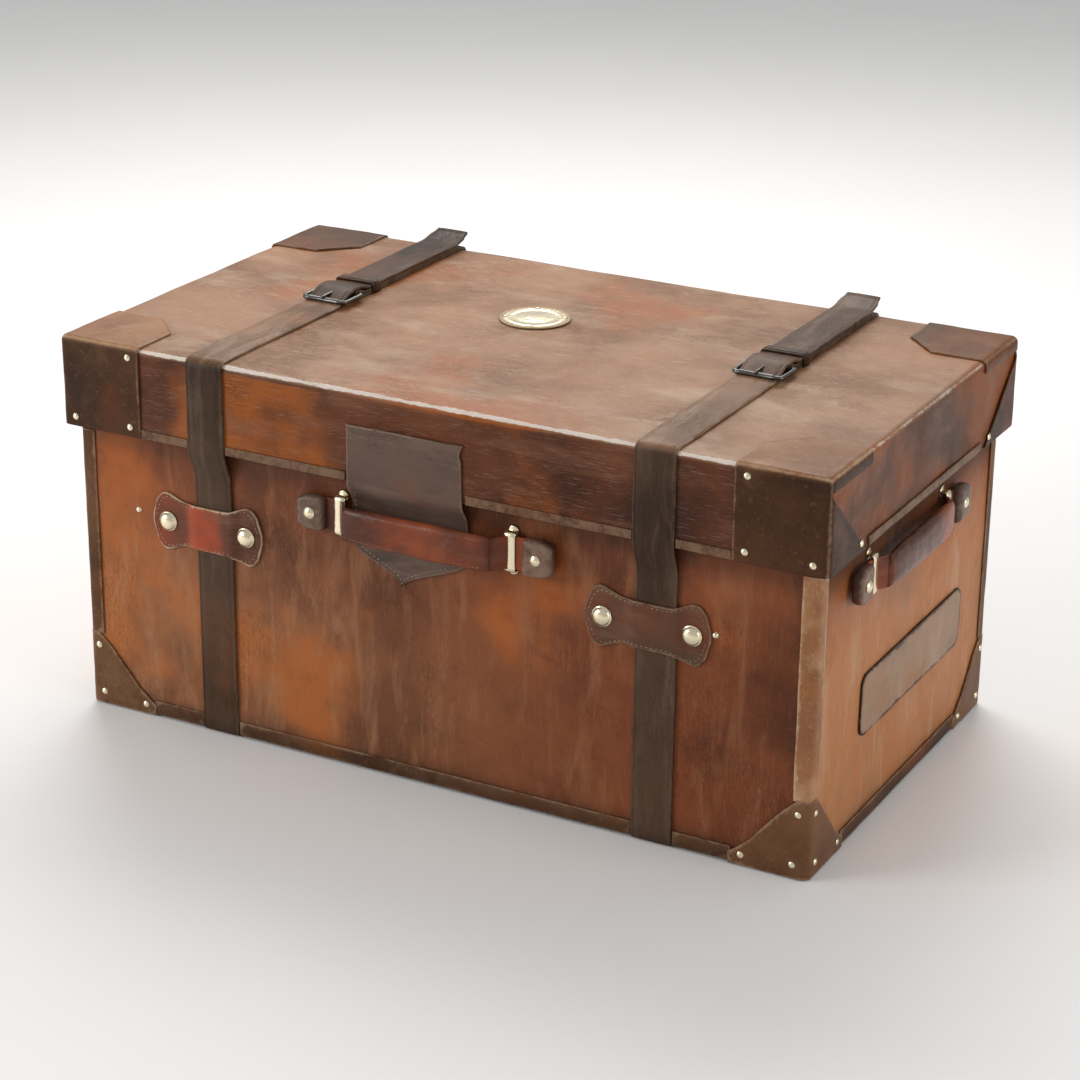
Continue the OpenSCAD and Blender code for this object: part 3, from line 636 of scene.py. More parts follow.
sample = patch([(0, 0), (0.1, 0), (0.1, 0.1), (0, 0.1)], 2 * MM, 10 * MM, lambda u, v, w: Vector((u, v, w)))
print("a 10 cm square of leather has", len(sample.faces), "faces")
sample.free()

# %% [markdown]
# A strap, a brass loop and a grip have nearly the same section all along. A curve with a bevel could make
# them, but it may twist at a bend. Rings of points that are joined here keep the flat side turned outward.

# %% A section carried along a path
def loft(rings, closed=False):
    bm = bmesh.new()
    made = [[bm.verts.new(p) for p in ring] for ring in rings]
    pairs = list(zip(made, made[1:])) + ([(made[-1], made[0])] if closed else [])
    for a, b in pairs:
        for i in range(len(a)):
            j = (i + 1) % len(a)
            bm.faces.new((a[i], a[j], b[j], b[i]))
    if not closed:
        bm.faces.new(made[0][::-1])
        bm.faces.new(made[-1])
    return bm

def sweep(path, section, side, closed=False, size=lambda t: 1.0):
    """Carry a section along a path. Its first number runs along side, its second outward."""
    path, side, last = [Vector(p) for p in path], Vector(side), len(path) - 1
    rings = []
    for i, at in enumerate(path):
        if closed:
            ahead = path[(i + 1) % (last + 1)] - path[i - 1]
        else:
            ahead = path[min(i + 1, last)] - path[max(i - 1, 0)]
        out = side.cross(ahead).normalized()
        rings.append([at + side * a * size(i / last) + out * b for a, b in section])
    return loft(rings, closed)

print("a sweep joins one ring of points to the next")

# %% [markdown]
# A path is typed as a few corners. Leather and bar never fold sharply, so the corners are rounded and the
# path is cut into even steps, which a dent or a bend needs. The strap's section has a line pressed in near
# each edge.

# %% Paths and sections
def bend(points, r, step):
    """Corners of a path rounded off, and the path then divided into even steps."""
    points = [Vector(p) for p in points]
    soft = [points[0]]
    for a, b, c in zip(points, points[1:], points[2:]):
        reach = min(r, (a - b).length * 0.45, (c - b).length * 0.45)
        start, end = b + (a - b).normalized() * reach, b + (c - b).normalized() * reach
        soft += [start.lerp(b, t).lerp(b.lerp(end, t), t) for t in (0, 0.25, 0.5, 0.75, 1)]
    soft.append(points[-1])
    even = [soft[0]]
    for a, b in zip(soft, soft[1:]):
        count = max(1, round((b - a).length / step))
        even += [a.lerp(b, i / count) for i in range(1, count + 1)]
    return even

def circle(r, count=16):
    return [(r * math.cos(math.tau * i / count), r * math.sin(math.tau * i / count)) for i in range(count)]

def strap_section(width, thick, crease=0.4 * MM):
    h, t = width / 2, thick
    half = [(h - 0.9 * MM, 0), (h - 0.25 * MM, 0.3 * MM), (h, t / 2), (h - 0.25 * MM, t - 0.4 * MM),
            (h - 0.9 * MM, t), (h - 2.4 * MM, t), (h - 3.1 * MM, t - crease), (h - 3.8 * MM, t),
            (h * 0.6, t + 0.1 * MM), (h * 0.25, t + 0.2 * MM)]
    return half + [(-a, b) for a, b in reversed(half)]

print("the strap's section has", len(strap_section(STRAP_W, STRAP_T)), "points")

# %% [markdown]
# Studs, plate and roller are round, so each is a profile spun on an axis. A stitch is a short fat thread. It
# could be painted, but a modelled one stands up from the leather and casts a shadow.

# %% Turned shapes and stitches
def turned(profile, at, axis, count=40):
    spin = Vector((0, 0, 1)).rotation_difference(Vector(axis))
    rings = []
    for r, h in profile:
        ring = [Vector((x, y, h)) for x, y in circle(max(r, 0.02 * MM), count)]
        rings.append([Vector(at) + spin @ p for p in ring])
    return loft(rings)

def stitches(path, across, pitch=5 * MM, length=3.4 * MM, r=0.45 * MM):
    """A row of stitches along a path, each a short fat thread that dips at its ends."""
    bm = bmesh.new()
    path = [Vector(p) for p in path]
    left = pitch / 2
    for a, b in zip(path, path[1:]):
        way = b - a
        while left < way.length:
            ahead = way.normalized()
            up = Vector(across).cross(ahead)
            axes = (ahead * length / 2, Vector(across) * r, up * r)
            made = bmesh.ops.create_icosphere(bm, subdivisions=1, radius=1)["verts"]
            centre = a + ahead * left
            for v in made:
                v.co = centre + axes[0] * v.co.x + axes[1] * v.co.y + axes[2] * v.co.z
            left += pitch
        left -= way.length
    return bm

sample = stitches([(0, 0, 0), (0.1, 0, 0)], (0, -1, 0))
print("stitches in 10 cm:", len(sample.faces) // 20)
sample.free()

# %% [markdown]
# ## The hides
# The case's hide is stretched round the boards and turned under. The lid's is one skin over the top and down
# all four sides, rubbed pale along the front edge where the trunk was slid and stacked, and a painted
# highlight there makes that edge almost white.

# %% The case's hide
def edge_wear(low, high, reach):
    def value(co):
        near = sorted(min(co[i] - low[i], high[i] - co[i]) for i in range(3))
        return 1 - fade(near[1], 0, reach)
    return value

low = Vector((-CASE_X, -CASE_Y, BASE_Z))
high = Vector((CASE_X, CASE_Y, RIM_Z - 1.6 * MM))
hide = block(low, high, 13 * MM, 5 * MM)
drop(hide, lambda at, n: n.z > 0.9)
paint(hide, "wear", edge_wear(low, high + Vector((0, 0, 1)), 10 * MM))

# On each end the tan gives way to the darker front tone towards the top: painted shade under the lid. On the front, a
# paler tone towards the left and the foot is a painted pool of light from the left.
def case_pale_and_painted_light(co):
    end = fade(abs(co.x), CASE_X - 6 * MM, CASE_X - 1 * MM) * fade(0.32 - co.z, 0, 0.16)
    return max(end, 0.42 * (1 - fade(co.x, -0.3, 0.28)) * fade(0.30 - co.z, 0, 0.2))

paint(hide, "pale", case_pale_and_painted_light)
paint(hide, "warm", lambda co: fade(abs(co.x), CASE_X - 8 * MM, CASE_X) + 0.6 * (1 - fade(co.x, -0.38, -0.2)))
# Darker at the foot for real dirt. The band just below the lid's edge, and the upper part of the right end, are
# darkened as painted shade under the lid's overhang.
paint(hide, "dirt", lambda co: 0.7 * (1 - fade(co.z, 0, 45 * MM)) + 0.5 * fade(co.z, 0.262, 0.30)
      + 0.4 * (co.x > CASE_X - 6 * MM) * fade(co.z, 0.2, 0.27))
soften(hide, low, high, 5 * MM, ("+z",))
dent(hide, 0.7 * MM, 0.09, 1, 0.9)
piece("case_hide", hide, hide_case, "case", ("case_leather_long", "case_leather_end", "case_leather_base"),
      "leather_long", 1.2 * MM, solid=False)

# %% [markdown]
# The lid's front is dark, its top is faded, and its front edge is rubbed pale, with a painted highlight that
# makes it almost white. Five separate faces would need a seam right at that edge. One skin has none, and its
# tones, wear and painted highlight are functions of the place.

# %% The lid's hide
low = Vector((-LID_X, -LID_Y, LID_Z))
high = Vector((LID_X, LID_Y, TOP_Z))
hide = block(low, high, 13 * MM, 6 * MM)
drop(hide, lambda at, n: n.z < -0.9)

# The front term paints the front top edge near white: real wear with a painted highlight laid over it.
def lid_wear_and_highlight(co):
    near = sorted((min(co.x - low.x, high.x - co.x), min(co.y - low.y, high.y - co.y), high.z - co.z))
    front = 1.5 * (1 - fade(co.y - low.y, 0, 8 * MM)) * (1 - fade(high.z - co.z, 0, 7 * MM))
    return max(front, 0.9 - 0.9 * fade(near[1], 0, 7 * MM))

paint(hide, "wear", lid_wear_and_highlight)
paint(hide, "pale", lambda co: max(fade(co.z, TOP_Z - 7 * MM, TOP_Z - 1 * MM),
                                   0.08 * fade(abs(co.x), LID_X - 6 * MM, LID_X - 1 * MM)))

def lid_warm(co):
    front_left = (1 - fade(co.x, -0.16, -0.04)) * fade(co.x, -0.34, -0.22) * (co.z < TOP_Z - 9 * MM)
    top_front = (1 - fade(co.y, -0.22, -0.1)) * (co.z > TOP_Z - 7 * MM)
    return 1.7 * front_left + 0.6 * top_front + 0.8 * (co.x > LID_X - 7 * MM)

def lid_dirt(co):
    return 0.25 * (1 - fade(co.z, LID_Z, LID_Z + 20 * MM)) + 0.4 * (co.x > LID_X - 7 * MM)

paint(hide, "warm", lid_warm)
paint(hide, "dirt", lid_dirt)
soften(hide, low, high, 6 * MM, ("-z",))
dent(hide, 0.7 * MM, 0.1, 2, 0.7)
piece("lid_hide", hide, hide_lid, "lid", ("lid_top_leather", "lid_leather_long", "lid_leather_end"),
      "leather_top", 1.2 * MM, solid=False)

# %% [markdown]
# ## Caps and bindings
# Thick leather caps take the knocks at the corners. Between them a narrow strip is nailed along the foot,
# up the corners of the case and along the lid's lower edge.

# %% A patch folded round an upright corner
def round_corner(half_x, half_y, sx, sy, r=6 * MM):
    """u runs round the corner from the end (below 0) to the long side (above 0)."""
    quarter = r * math.pi / 4

    def place(u, v, w):
        if abs(u) <= quarter:
            turn = math.pi / 4 + u / r
            a, b = -r + (r + w) * math.cos(turn), -r + (r + w) * math.sin(turn)
        elif u > 0:
            a, b = -r - (u - quarter), w
        else:
            a, b = w, -r - (-u - quarter)
        return Vector((sx * (half_x + a), sy * (half_y + b), v))
    return place

def on_front(y, sign=-1):
    return lambda u, v, w: Vector((u, sign * (y + w), v))

def on_end(x, sign=1, y=0.0, z=0.0):
    return lambda u, v, w: Vector((sign * (x + w), y + u, z + v))

def rect(u0, u1, v0, v1):
    return [(u0, v0), (u1, v0), (u1, v1), (u0, v1)]

corner = round_corner(CASE_X, CASE_Y, 1, 1)(0, 0, 0)
print("the case's rounded corner is at", [round(c, 3) for c in corner])

# %% [markdown]
# Each cap is one piece of thick leather over the corner, cut away in a curve on both faces. It could be
# shaped on the corner, but then the curve is needed twice. Here it is drawn flat, like a butterfly, and
# the placing function folds it.

# %% Caps at the foot of the case
CAP = 78 * MM
CAP_T = 2.5 * MM
corners = [(sx, sy) for sx in (-1, 1) for sy in (-1, 1)]
arc = [(0.12, 1.0), (0.3, 0.84), (0.52, 0.58), (0.72, 0.34), (0.9, 0.19), (1.0, 0.12)]
shape = [(CAP * a, BASE_Z + CAP * b) for a, b in arc]
cap_outline = [(-CAP * 0.98, 1.5 * MM)] + [(CAP * 0.98, 1.5 * MM)] + shape[::-1] + [(-u, v) for u, v in shape]
fine = [k * MM for k in (-6, -4, -2, 0, 2, 4, 6)]
parts = []
for seed, (sx, sy) in enumerate(corners):
    cap = patch(cap_outline, CAP_T, 7 * MM, round_corner(CASE_X, CASE_Y, sx, sy), extra=(fine, ()))
    dent(cap, 0.5 * MM, 0.03, seed + 5, 0.6)
    parts.append(cap)
caps = join(parts)
dirt_low = lambda co: 0.6 * (1 - fade(co.z, 0, 30 * MM))
paint(caps, "dirt", lambda co: 0.3 * (1 - fade(co.z, 0, 15 * MM)))
paint(caps, "pale", lambda co: 0.28)
piece("foot_caps", caps, cap_hide, "case", ("case_corner_caps",), "cap_leather")

# %% [markdown]
# Narrow strips cover the raw edges of the hide, upright at the corners and along the foot between straps and
# caps. One long strip could run under the straps, but it would show through them, so each piece stops just
# short of what it meets.

# %% Bindings of the case
BIND_W, BIND_T = 15 * MM, 1.5 * MM

def strip(u0, u1, edge, place):
    return patch(rect(u0, u1, *edge), BIND_T, 9 * MM, place, 0.5 * MM, 4 * MM)

upright = rect(-BIND_W, BIND_W, CAP + 2 * MM, LID_Z - 6 * MM)
parts = []
for sx, sy in corners:
    place = round_corner(CASE_X, CASE_Y, sx, sy, 5 * MM)
    parts.append(patch(upright, BIND_T, 8 * MM, place, 0.5 * MM, 4 * MM, (fine, ())))
foot = (BASE_Z, BASE_Z + BIND_W)
inner, outer, under_cap = STRAP_X - STRAP_SIDE, STRAP_X + STRAP_SIDE, CAP - 1 * MM
cap_end, end = CASE_X - under_cap, CASE_Y - under_cap
for sign in (-1, 1):
    for u0, u1 in ((-cap_end, -outer), (-inner, inner), (outer, cap_end)):
        parts.append(strip(u0, u1, foot, on_front(CASE_Y, sign)))
    parts.append(strip(-end, end, foot, on_end(CASE_X, sign)))
bindings = join(parts)
paint(bindings, "dirt", dirt_low)
# The upright at the front right takes the paler tones: worn leather, plus a painted highlight where its rounded corner
# faces the light from the right.
paint(bindings, "pale", lambda co: 1.0 if co.y < 0 and co.z > 50 * MM and co.x > 0 else 0.15)
dent(bindings, 0.3 * MM, 0.03, 11, 0.4)
piece("case_bindings_worn", bindings, cap_hide, "case", ("case_bindings",), "cap_leather")

# %% [markdown]
# The same strip finishes the lid's lower edge. Caps, straps, flap and the three hinges break it, so its
# pieces are listed by where they start and end.

# %% Binding of the lid's lower edge
lip = (LID_Z, LID_Z + 9 * MM)
flap_low, flap_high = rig.box("front_flap")
LID_CAP = 92 * MM
HINGE_AT, HINGE_HALF = 160 * MM, 30 * MM
before, after = HINGE_AT - HINGE_HALF, HINGE_AT + HINGE_HALF
beside_hinges = [(-inner, -after), (-before, -HINGE_HALF), (HINGE_HALF, before), (after, inner)]
cap_end, end = LID_X - LID_CAP - 1 * MM, LID_Y - LID_CAP
front = [(-cap_end, -outer), (-inner, flap_low.x - 2 * MM), (flap_high.x + 2 * MM, inner), (outer, cap_end)]
back = [(-cap_end, -outer), *beside_hinges, (outer, cap_end)]
parts = [strip(a, b, lip, on_front(LID_Y)) for a, b in front]
parts += [strip(a, b, lip, on_front(LID_Y, 1)) for a, b in back]
parts += [strip(-end, end, lip, on_end(LID_X, s)) for s in (-1, 1)]
binding = join(parts)
dent(binding, 0.3 * MM, 0.03, 12, 0.3)
piece("lid_edge_strip", binding, cap_hide, "lid", ("lid_edge_binding",), "cap_leather")

# %% [markdown]
# A lid cap covers the whole height at the front, a triangle on the end and a cut corner on the top. Dropping
# faces from a grid would leave saw teeth. Planes first cut the three faces where the outline slants, and
# only then are the faces outside it dropped.

# %% Caps of the lid, each over three faces
LID_CAP_T = 2 * MM
WING_TOP = -12 * MM
parts = []
for seed, (sx, sy) in enumerate(corners):
    low, high = Vector((-LID_CAP, -LID_CAP, LID_Z - TOP_Z)), Vector((LID_CAP_T,) * 3)
    cap = block(low, high, 8 * MM, 7 * MM)
    slope = Vector((0, -0.68 * LID_CAP, 0.9 * LID_CAP - 14 * MM)).normalized()
    foot_of_wing = Vector((0, -0.9 * LID_CAP, low.z))
    cuts = ((2, (-0.81 * LID_CAP, -0.81 * LID_CAP, LID_CAP_T), (1, 1, 0)), (0, foot_of_wing, slope),
            (0, (0, 0, WING_TOP), (0, 0, 1)))
    for axis, at, way in cuts:
        cap.normal_update()
        some = [f for f in cap.faces if f.normal[axis] > 0.9]
        geom = some + list({e for f in some for e in f.edges}) + list({v for f in some for v in f.verts})
        bmesh.ops.bisect_plane(cap, geom=geom, dist=1e-6, plane_co=at, plane_no=way)
    cap.normal_update()

    def outside(at, n):
        if n.x < -0.9 or n.y < -0.9 or n.z < -0.9:
            return True
        if n.z > 0.9:
            return at.x + at.y < -1.62 * LID_CAP
        if n.x > 0.9:
            return (at - foot_of_wing).dot(slope) > 0 > at.z - WING_TOP
        return False

    drop(cap, outside)
    paint(cap, "wear", lambda co: max(1 - fade(sorted(high - co)[1], 0, 9 * MM),
                                      1 - fade(LID_CAP + min(co.x, co.y), 0, 6 * MM)))
    paint(cap, "pale", lambda co, sy=sy: (0.85 if sy < 0 else 0.2) * fade(co.z, -4 * MM, LID_CAP_T))
    soften(cap, low, high, 7 * MM, ("-x", "-y", "-z"))
    dent(cap, 0.5 * MM, 0.04, seed + 21, 0.4)
    for v in cap.verts:
        v.co = Vector((sx * (LID_X + v.co.x), sy * (LID_Y + v.co.y), TOP_Z + v.co.z))
    if sx * sy < 0:
        bmesh.ops.reverse_faces(cap, faces=cap.faces)
    parts.append(cap)
caps = join(parts)
piece("lid_caps", caps, cap_hide, "lid", ("lid_corner_caps",), "cap_leather", 1.9 * MM, solid=False)

# %% [markdown]
# ## Straps
# Each strap is one length round the case, met under the keeper by the lid's own strap. That one goes up over
# the front edge, through the buckle and on to a free tail at the back. The strap on the back is doubled on
# top, where it holds the buckle. At the hinge a short bridge of strap bends as the lid opens.

# %% One strap along a path
rest_y, skirt_y = CASE_Y + 0.5 * MM, LID_Y
section = strap_section(STRAP_W, STRAP_T)
across = (1, 0, 0)

def strap(x, path, r=9 * MM, tip=0.0):
    path = bend([(x, y, z) for y, z in path], r, 6 * MM)
    return sweep(path, section, across, size=lambda t: 1 - tip * fade(t, 0.97, 1) ** 2)

def strap_paint(bm, x):
    paint(bm, "wear", lambda co: 0.9 * fade(abs(co.x - x), STRAP_W / 2 - 3 * MM, STRAP_W / 2))
    paint(bm, "dirt", lambda co: 0.5 * (1 - fade(co.z, 0, 25 * MM)))

print("strap:", round(STRAP_W / MM), "by", round(STRAP_T / MM, 1), "mm")

# %% [markdown]
# The tail's end rises a little, as stiff old leather does. Cloth simulation would make it hang limp, so the
# rise is part of the path. Worn edges and the faded stretch on the lid are painted strap by strap.

# %% The straps of the case, the lid and the back
case_parts, lid_parts, back_parts = [], [], []
for x in (-STRAP_X, STRAP_X):
    def top_pale(co, x=x):
        share = 0.95 if co.y < FRONT_BAR else 0.35 * (x > 0)
        return share * fade(co.z, TOP_Z - 3 * MM, TOP_Z + 2 * MM)

    part = strap(x, [(CASE_Y, BACK_Z), (CASE_Y, BASE_Z), (-CASE_Y, BASE_Z), (-CASE_Y, JOIN_Z - 1 * MM)],
                 4 * MM)
    strap_paint(part, x)
    case_parts.append(part)
    tail = heel.z + 0.5 * MM
    part = strap(x, [(-rest_y, JOIN_Z + 1 * MM), (-rest_y, LID_Z - 28 * MM), (-skirt_y, LID_Z - 4 * MM),
                     (-skirt_y, TOP_Z), (FRONT_BAR, TOP_Z), (heel.y - 9 * MM, heel.z + 4.8 * MM),
                     (heel.y + 6 * MM, heel.z + 4.8 * MM), (heel.y + 20 * MM, tail),
                     (LID_Y - 18 * MM, tail), (LID_Y - 4 * MM, tail + 3 * MM),
                     (LID_Y + 10 * MM, tail + 7 * MM)],
                 8 * MM, tip=0.12)
    strap_paint(part, x)
    paint(part, "pale", top_pale)
    dent(part, 0.35 * MM, 0.035, 31 + x, 0)
    lid_parts.append(part)
    part = strap(x, [(heel.y + 3 * MM, TOP_Z), (LID_Y, TOP_Z), (LID_Y, LID_Z + 2 * MM)], 5 * MM)
    eye, r = [], 2.2 * MM
    for turn in range(-90, 91, 30):
        a = math.radians(turn)
        eye.append((heel.y - r * math.cos(a), heel.z + r * math.sin(a)))
    fold = strap(x, eye + [(heel.y + 14 * MM, TOP_Z + STRAP_T), (LID_Y - 13 * MM, TOP_Z + STRAP_T)], 3 * MM)
    for made in (part, fold):
        strap_paint(made, x)
        back_parts.append(made)
piece("straps_of_case", join(case_parts), strap_hide, "case", ("case_straps",), "strap_leather")
piece("straps_of_lid", join(lid_parts), strap_hide, "lid", ("lid_straps",), "strap_leather")
piece("straps_of_back", join(back_parts), strap_hide, "lid", ("back_straps",), "strap_leather")

# %% [markdown]
# At the back a strap crosses from lid to case. A rigid piece there would tear away from one of them when the
# lid opens, so a short length is blended between the two bodies.

# %% Bridges of strap that bend at the hinge
for side, x in (("left", -STRAP_X), ("right", STRAP_X)):
    y0, y1 = CASE_Y, LID_Y
    path = [(x, y1, LID_Z + 2.5 * MM), (x, y1, LID_Z - 1 * MM), (x, (y0 + y1) / 2, LID_Z - 8 * MM),
            (x, y0, BACK_Z + 3 * MM), (x, y0, BACK_Z - 0.5 * MM)]
    part = sweep(bend(path, 4 * MM, 1.2 * MM), section, across)
    strap_paint(part, x)
    bridge = piece("strap_bridge_" + side, part, strap_hide, None, slot="strap_leather")
    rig.blend(bridge, "case", "lid", (x, y0 + 1 * MM, BACK_Z + 1 * MM), (x, y1 + 1 * MM, LID_Z + 1 * MM))

# %% [markdown]
# A loop keeps each tail down. It is a narrow band that goes up, over and down again, swept like the straps so
# that its edges match theirs.

# %% Loops that hold the tails
parts = []
for x in (-STRAP_X, STRAP_X):
    half, top = STRAP_W / 2 + 0.7 * MM, heel.z + 4.2 * MM
    path = bend([(x - half, heel.y + 33 * MM, TOP_Z), (x - half, heel.y + 33 * MM, top),
                 (x + half, heel.y + 33 * MM, top), (x + half, heel.y + 33 * MM, TOP_Z)], 3 * MM, 3 * MM)
    parts.append(sweep(path, strap_section(14 * MM, 2 * MM, 0.2 * MM), (0, -1, 0)))
loops = join(parts)
paint(loops, "wear", lambda co: 0.7 * fade(co.z, TOP_Z + 7 * MM, TOP_Z + 12 * MM))
dent(loops, 0.3 * MM, 0.02, 41, 0.2)
piece("tail_loops", loops, strap_hide, "lid", ("strap_loops",), "strap_leather")

# %% [markdown]
# ## Keepers and flap
# A keeper is a waisted piece of red-brown leather. It is laid over the strap and held by two brass studs, and
# its rim is burnished pale. The flap hangs from the lid's front down to a point over the case.

# %% Keepers
keeper_low, keeper_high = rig.box("strap_keepers")
stud_low, stud_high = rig.box("keeper_studs")
KEEP_X = (keeper_low.x + keeper_high.x) / 2
KEEP_Z = (keeper_low.z + keeper_high.z) / 2
HALF_L = keeper_high.x - KEEP_X - STRAP_X
STUD_R = 10.5 * MM
STUD = stud_high.x - KEEP_X - STRAP_X - STUD_R
end_h, waist_h = (keeper_high.z - keeper_low.z) / 2, 23 * MM
top = []
for i in range(25):
    t = -1 + i / 12
    ends = fade(abs(t), 0.35, 0.8)
    rounding = math.sqrt(max(1 - max((abs(t) - 0.72) / 0.28, 0) ** 2, 0.02))
    top.append((HALF_L * t, (waist_h + (end_h - waist_h) * ends) * rounding))
keeper_outline = top[::-1] + [(u, -v) for u, v in top]

parts, threads = [], []
for seed, x in enumerate((-STRAP_X, STRAP_X)):
    def over_strap(u, v, w, x=x):
        gap = abs(u + KEEP_X) - STRAP_W / 2
        rise = (STRAP_T + 0.8 * MM) * (1 - fade(gap, 0.5 * MM, 11 * MM))
        return Vector((x + KEEP_X + u, -(CASE_Y + rise + w), KEEP_Z + v))

    keeper = patch(keeper_outline, 2.6 * MM, 4 * MM, over_strap, 0.9 * MM, 5 * MM)
    dent(keeper, 0.6 * MM, 0.025, seed + 51, 0.1)
    paint(keeper, "pale", lambda co, x=x: 0.8 * (x > 0))
    middle = lambda co, x=x: 1 - fade(abs(co.x - x - KEEP_X), 12 * MM, 34 * MM)
    paint(keeper, "warm", lambda co, x=x: 0.9 * (x < 0) * middle(co))
    parts.append(keeper)
    line = [over_strap(u * 0.93, v * 0.86, 2.5 * MM) for u, v in top]
    threads.append(stitches(line, (0, -1, 0)))
    line = [over_strap(u * 0.93, -v * 0.86, 2.5 * MM) for u, v in top]
    threads.append(stitches(line, (0, -1, 0)))
piece("keepers", join(parts), keeper_hide, "case", ("strap_keepers",), "strap_leather")
piece("keeper_stitches", join(threads), thread, "case", slot="strap_leather")

# %% [markdown]
# A stud has a thin collar and a low dome, bright on top and dull at the foot. A squashed ball would lack the
# collar, so the stud is turned. Two small nails sit beside the outer ends of the keepers.

# %% Studs and nails
def stud(at, axis, r, height):
    shape = [(0, 0), (0.95, 0), (1, 0.12), (0.97, 0.24), (0.88, 0.26), (0.84, 0.42), (0.72, 0.68),
             (0.5, 0.88), (0.25, 0.98), (0, 1)]
    return turned([(r * a, height * b) for a, b in shape], at, axis)

front_out = (0, -1, 0)
at_y = -CASE_Y - 2.5 * MM
parts = [stud((x + KEEP_X + s * STUD, at_y, KEEP_Z), front_out, STUD_R, -stud_low.y + at_y)
         for x in (-STRAP_X, STRAP_X) for s in (-1, 1)]
studs = join(parts)
paint(studs, "dirt", lambda co: 1 - fade(-co.y - CASE_Y, 2.5 * MM, 4.6 * MM))
piece("studs", studs, brass, "case", ("keeper_studs",), "brass")
spots = [(-336 * MM, 226 * MM), (302 * MM, 226 * MM)]
nails = join([stud((x, -CASE_Y + 0.6 * MM, z), front_out, 3.4 * MM, 2.6 * MM) for x, z in spots])
piece("front_nails", nails, brass, "case", slot="brass")

# %% [markdown]
# The flap hangs from the lid over the case's front, so it steps in by the depth of the lid. Cloth simulation
# would sag too softly for leather this stiff. The outline stays flat, and the placing function bends it back
# to the case below the lid's edge.

# %% Flap
mid = (flap_low.x + flap_high.x) / 2
half = (flap_high.x - flap_low.x) / 2
roof_z, shoulder, tip_z = flap_high.z, flap_low.z + 40 * MM, flap_low.z
steps = [i / 22 for i in range(23)]
left = [(mid - 10 * MM * t - half * (0.5 + 0.5 * math.cos(math.pi * t)), shoulder - 40 * MM * t)
        for t in steps]
right = [(2 * (mid - 10 * MM * t) - u, v) for (u, v), t in zip(left, steps)][::-1][1:]
notch = []
for i in range(9):
    a = math.radians(-145 - 70 * i / 8)
    notch.append((mid + half + 5 * MM + 9 * MM * math.cos(a), roof_z - 10 * MM + 9 * MM * math.sin(a)))
notch.sort(key=lambda p: p[1])
flap_outline = [(mid - half, roof_z)] + left + right + notch + [(mid + half, roof_z)]

def skirt(z):
    return rest_y + (skirt_y - rest_y) * fade(z, LID_Z - 24 * MM, LID_Z - 2 * MM)

def on_skirt(u, v, w):
    return Vector((u, -(skirt(v) + w), v))

flap = patch(flap_outline, STRAP_T - 0.2 * MM, 5 * MM, on_skirt, 1 * MM, 6 * MM)
dent(flap, 0.7 * MM, 0.05, 61, 0.5)
paint(flap, "dirt", lambda co: 0.4 * (1 - fade(co.z, tip_z, tip_z + 12 * MM)))
piece("flap", flap, flap_hide, "lid", ("front_flap",), "flap_leather")
inset = [(mid + (u - mid) * 0.9, tip_z + (v - tip_z) * 0.97 + 5 * MM) for u, v in left + right]
line = [on_skirt(u, v, 2.6 * MM) for u, v in [(mid - half * 0.9, roof_z - 6 * MM)] + inset]
piece("flap_stitches", stitches(line, front_out), thread, "lid", slot="flap_leather")

# %% [markdown]
# ## Handles
# Each handle is a padded grip between two thick stop ends. The stop ends cannot pass the brass loops. Lifting
# the grip draws them inward, and the soft arms between grip and stop bend to let it rise.

# %% Where each handle sits
end_y = sum(c.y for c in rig.box("grip_right")) / 2
handles = {
    "front": (lambda u, w, v: Vector((u, -CASE_Y - w, HANDLE_Z + v)), Vector((1, 0, 0)), Vector((0, -1, 0))),
    "right": (lambda u, w, v: Vector((CASE_X + w, end_y + u, HANDLE_Z + v)), Vector((0, 1, 0)),
              Vector((1, 0, 0))),
    "left": (lambda u, w, v: Vector((-CASE_X - w, end_y - u, HANDLE_Z + v)), Vector((0, -1, 0)),
             Vector((-1, 0, 0))),
}
grip_low, grip_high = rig.box("grip_front")
GRIP, GRIP_T = (grip_high.x - grip_low.x) / 2, grip_high.y - grip_low.y
stands = {"front": -CASE_Y - grip_high.y, "right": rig.box("grip_right")[0].x - CASE_X}
stands["left"] = stands["right"]
print("grip:", round(2 * GRIP / MM), "mm long")
print("stands off by mm:", {side: round(stand / MM, 1) for side, stand in stands.items()})

# %% [markdown]
# A grip is padded leather sewn along both edges, and it gets slimmer towards its ends. Its section changes
# along the way, so it is lofted from rings and not swept. The sewn rows run where the padding stops.

# %% The padded grips
def grip_ring(place, u, w, tall, thick, count=28):
    ring = []
    for i in range(count):
        a = math.tau * i / count
        c, s = math.cos(a), math.sin(a)
        ring.append(place(u, w + thick / 2 * math.copysign(abs(s) ** 0.8, s),
                          tall / 2 * math.copysign(abs(c) ** 0.7, c)))
    return ring

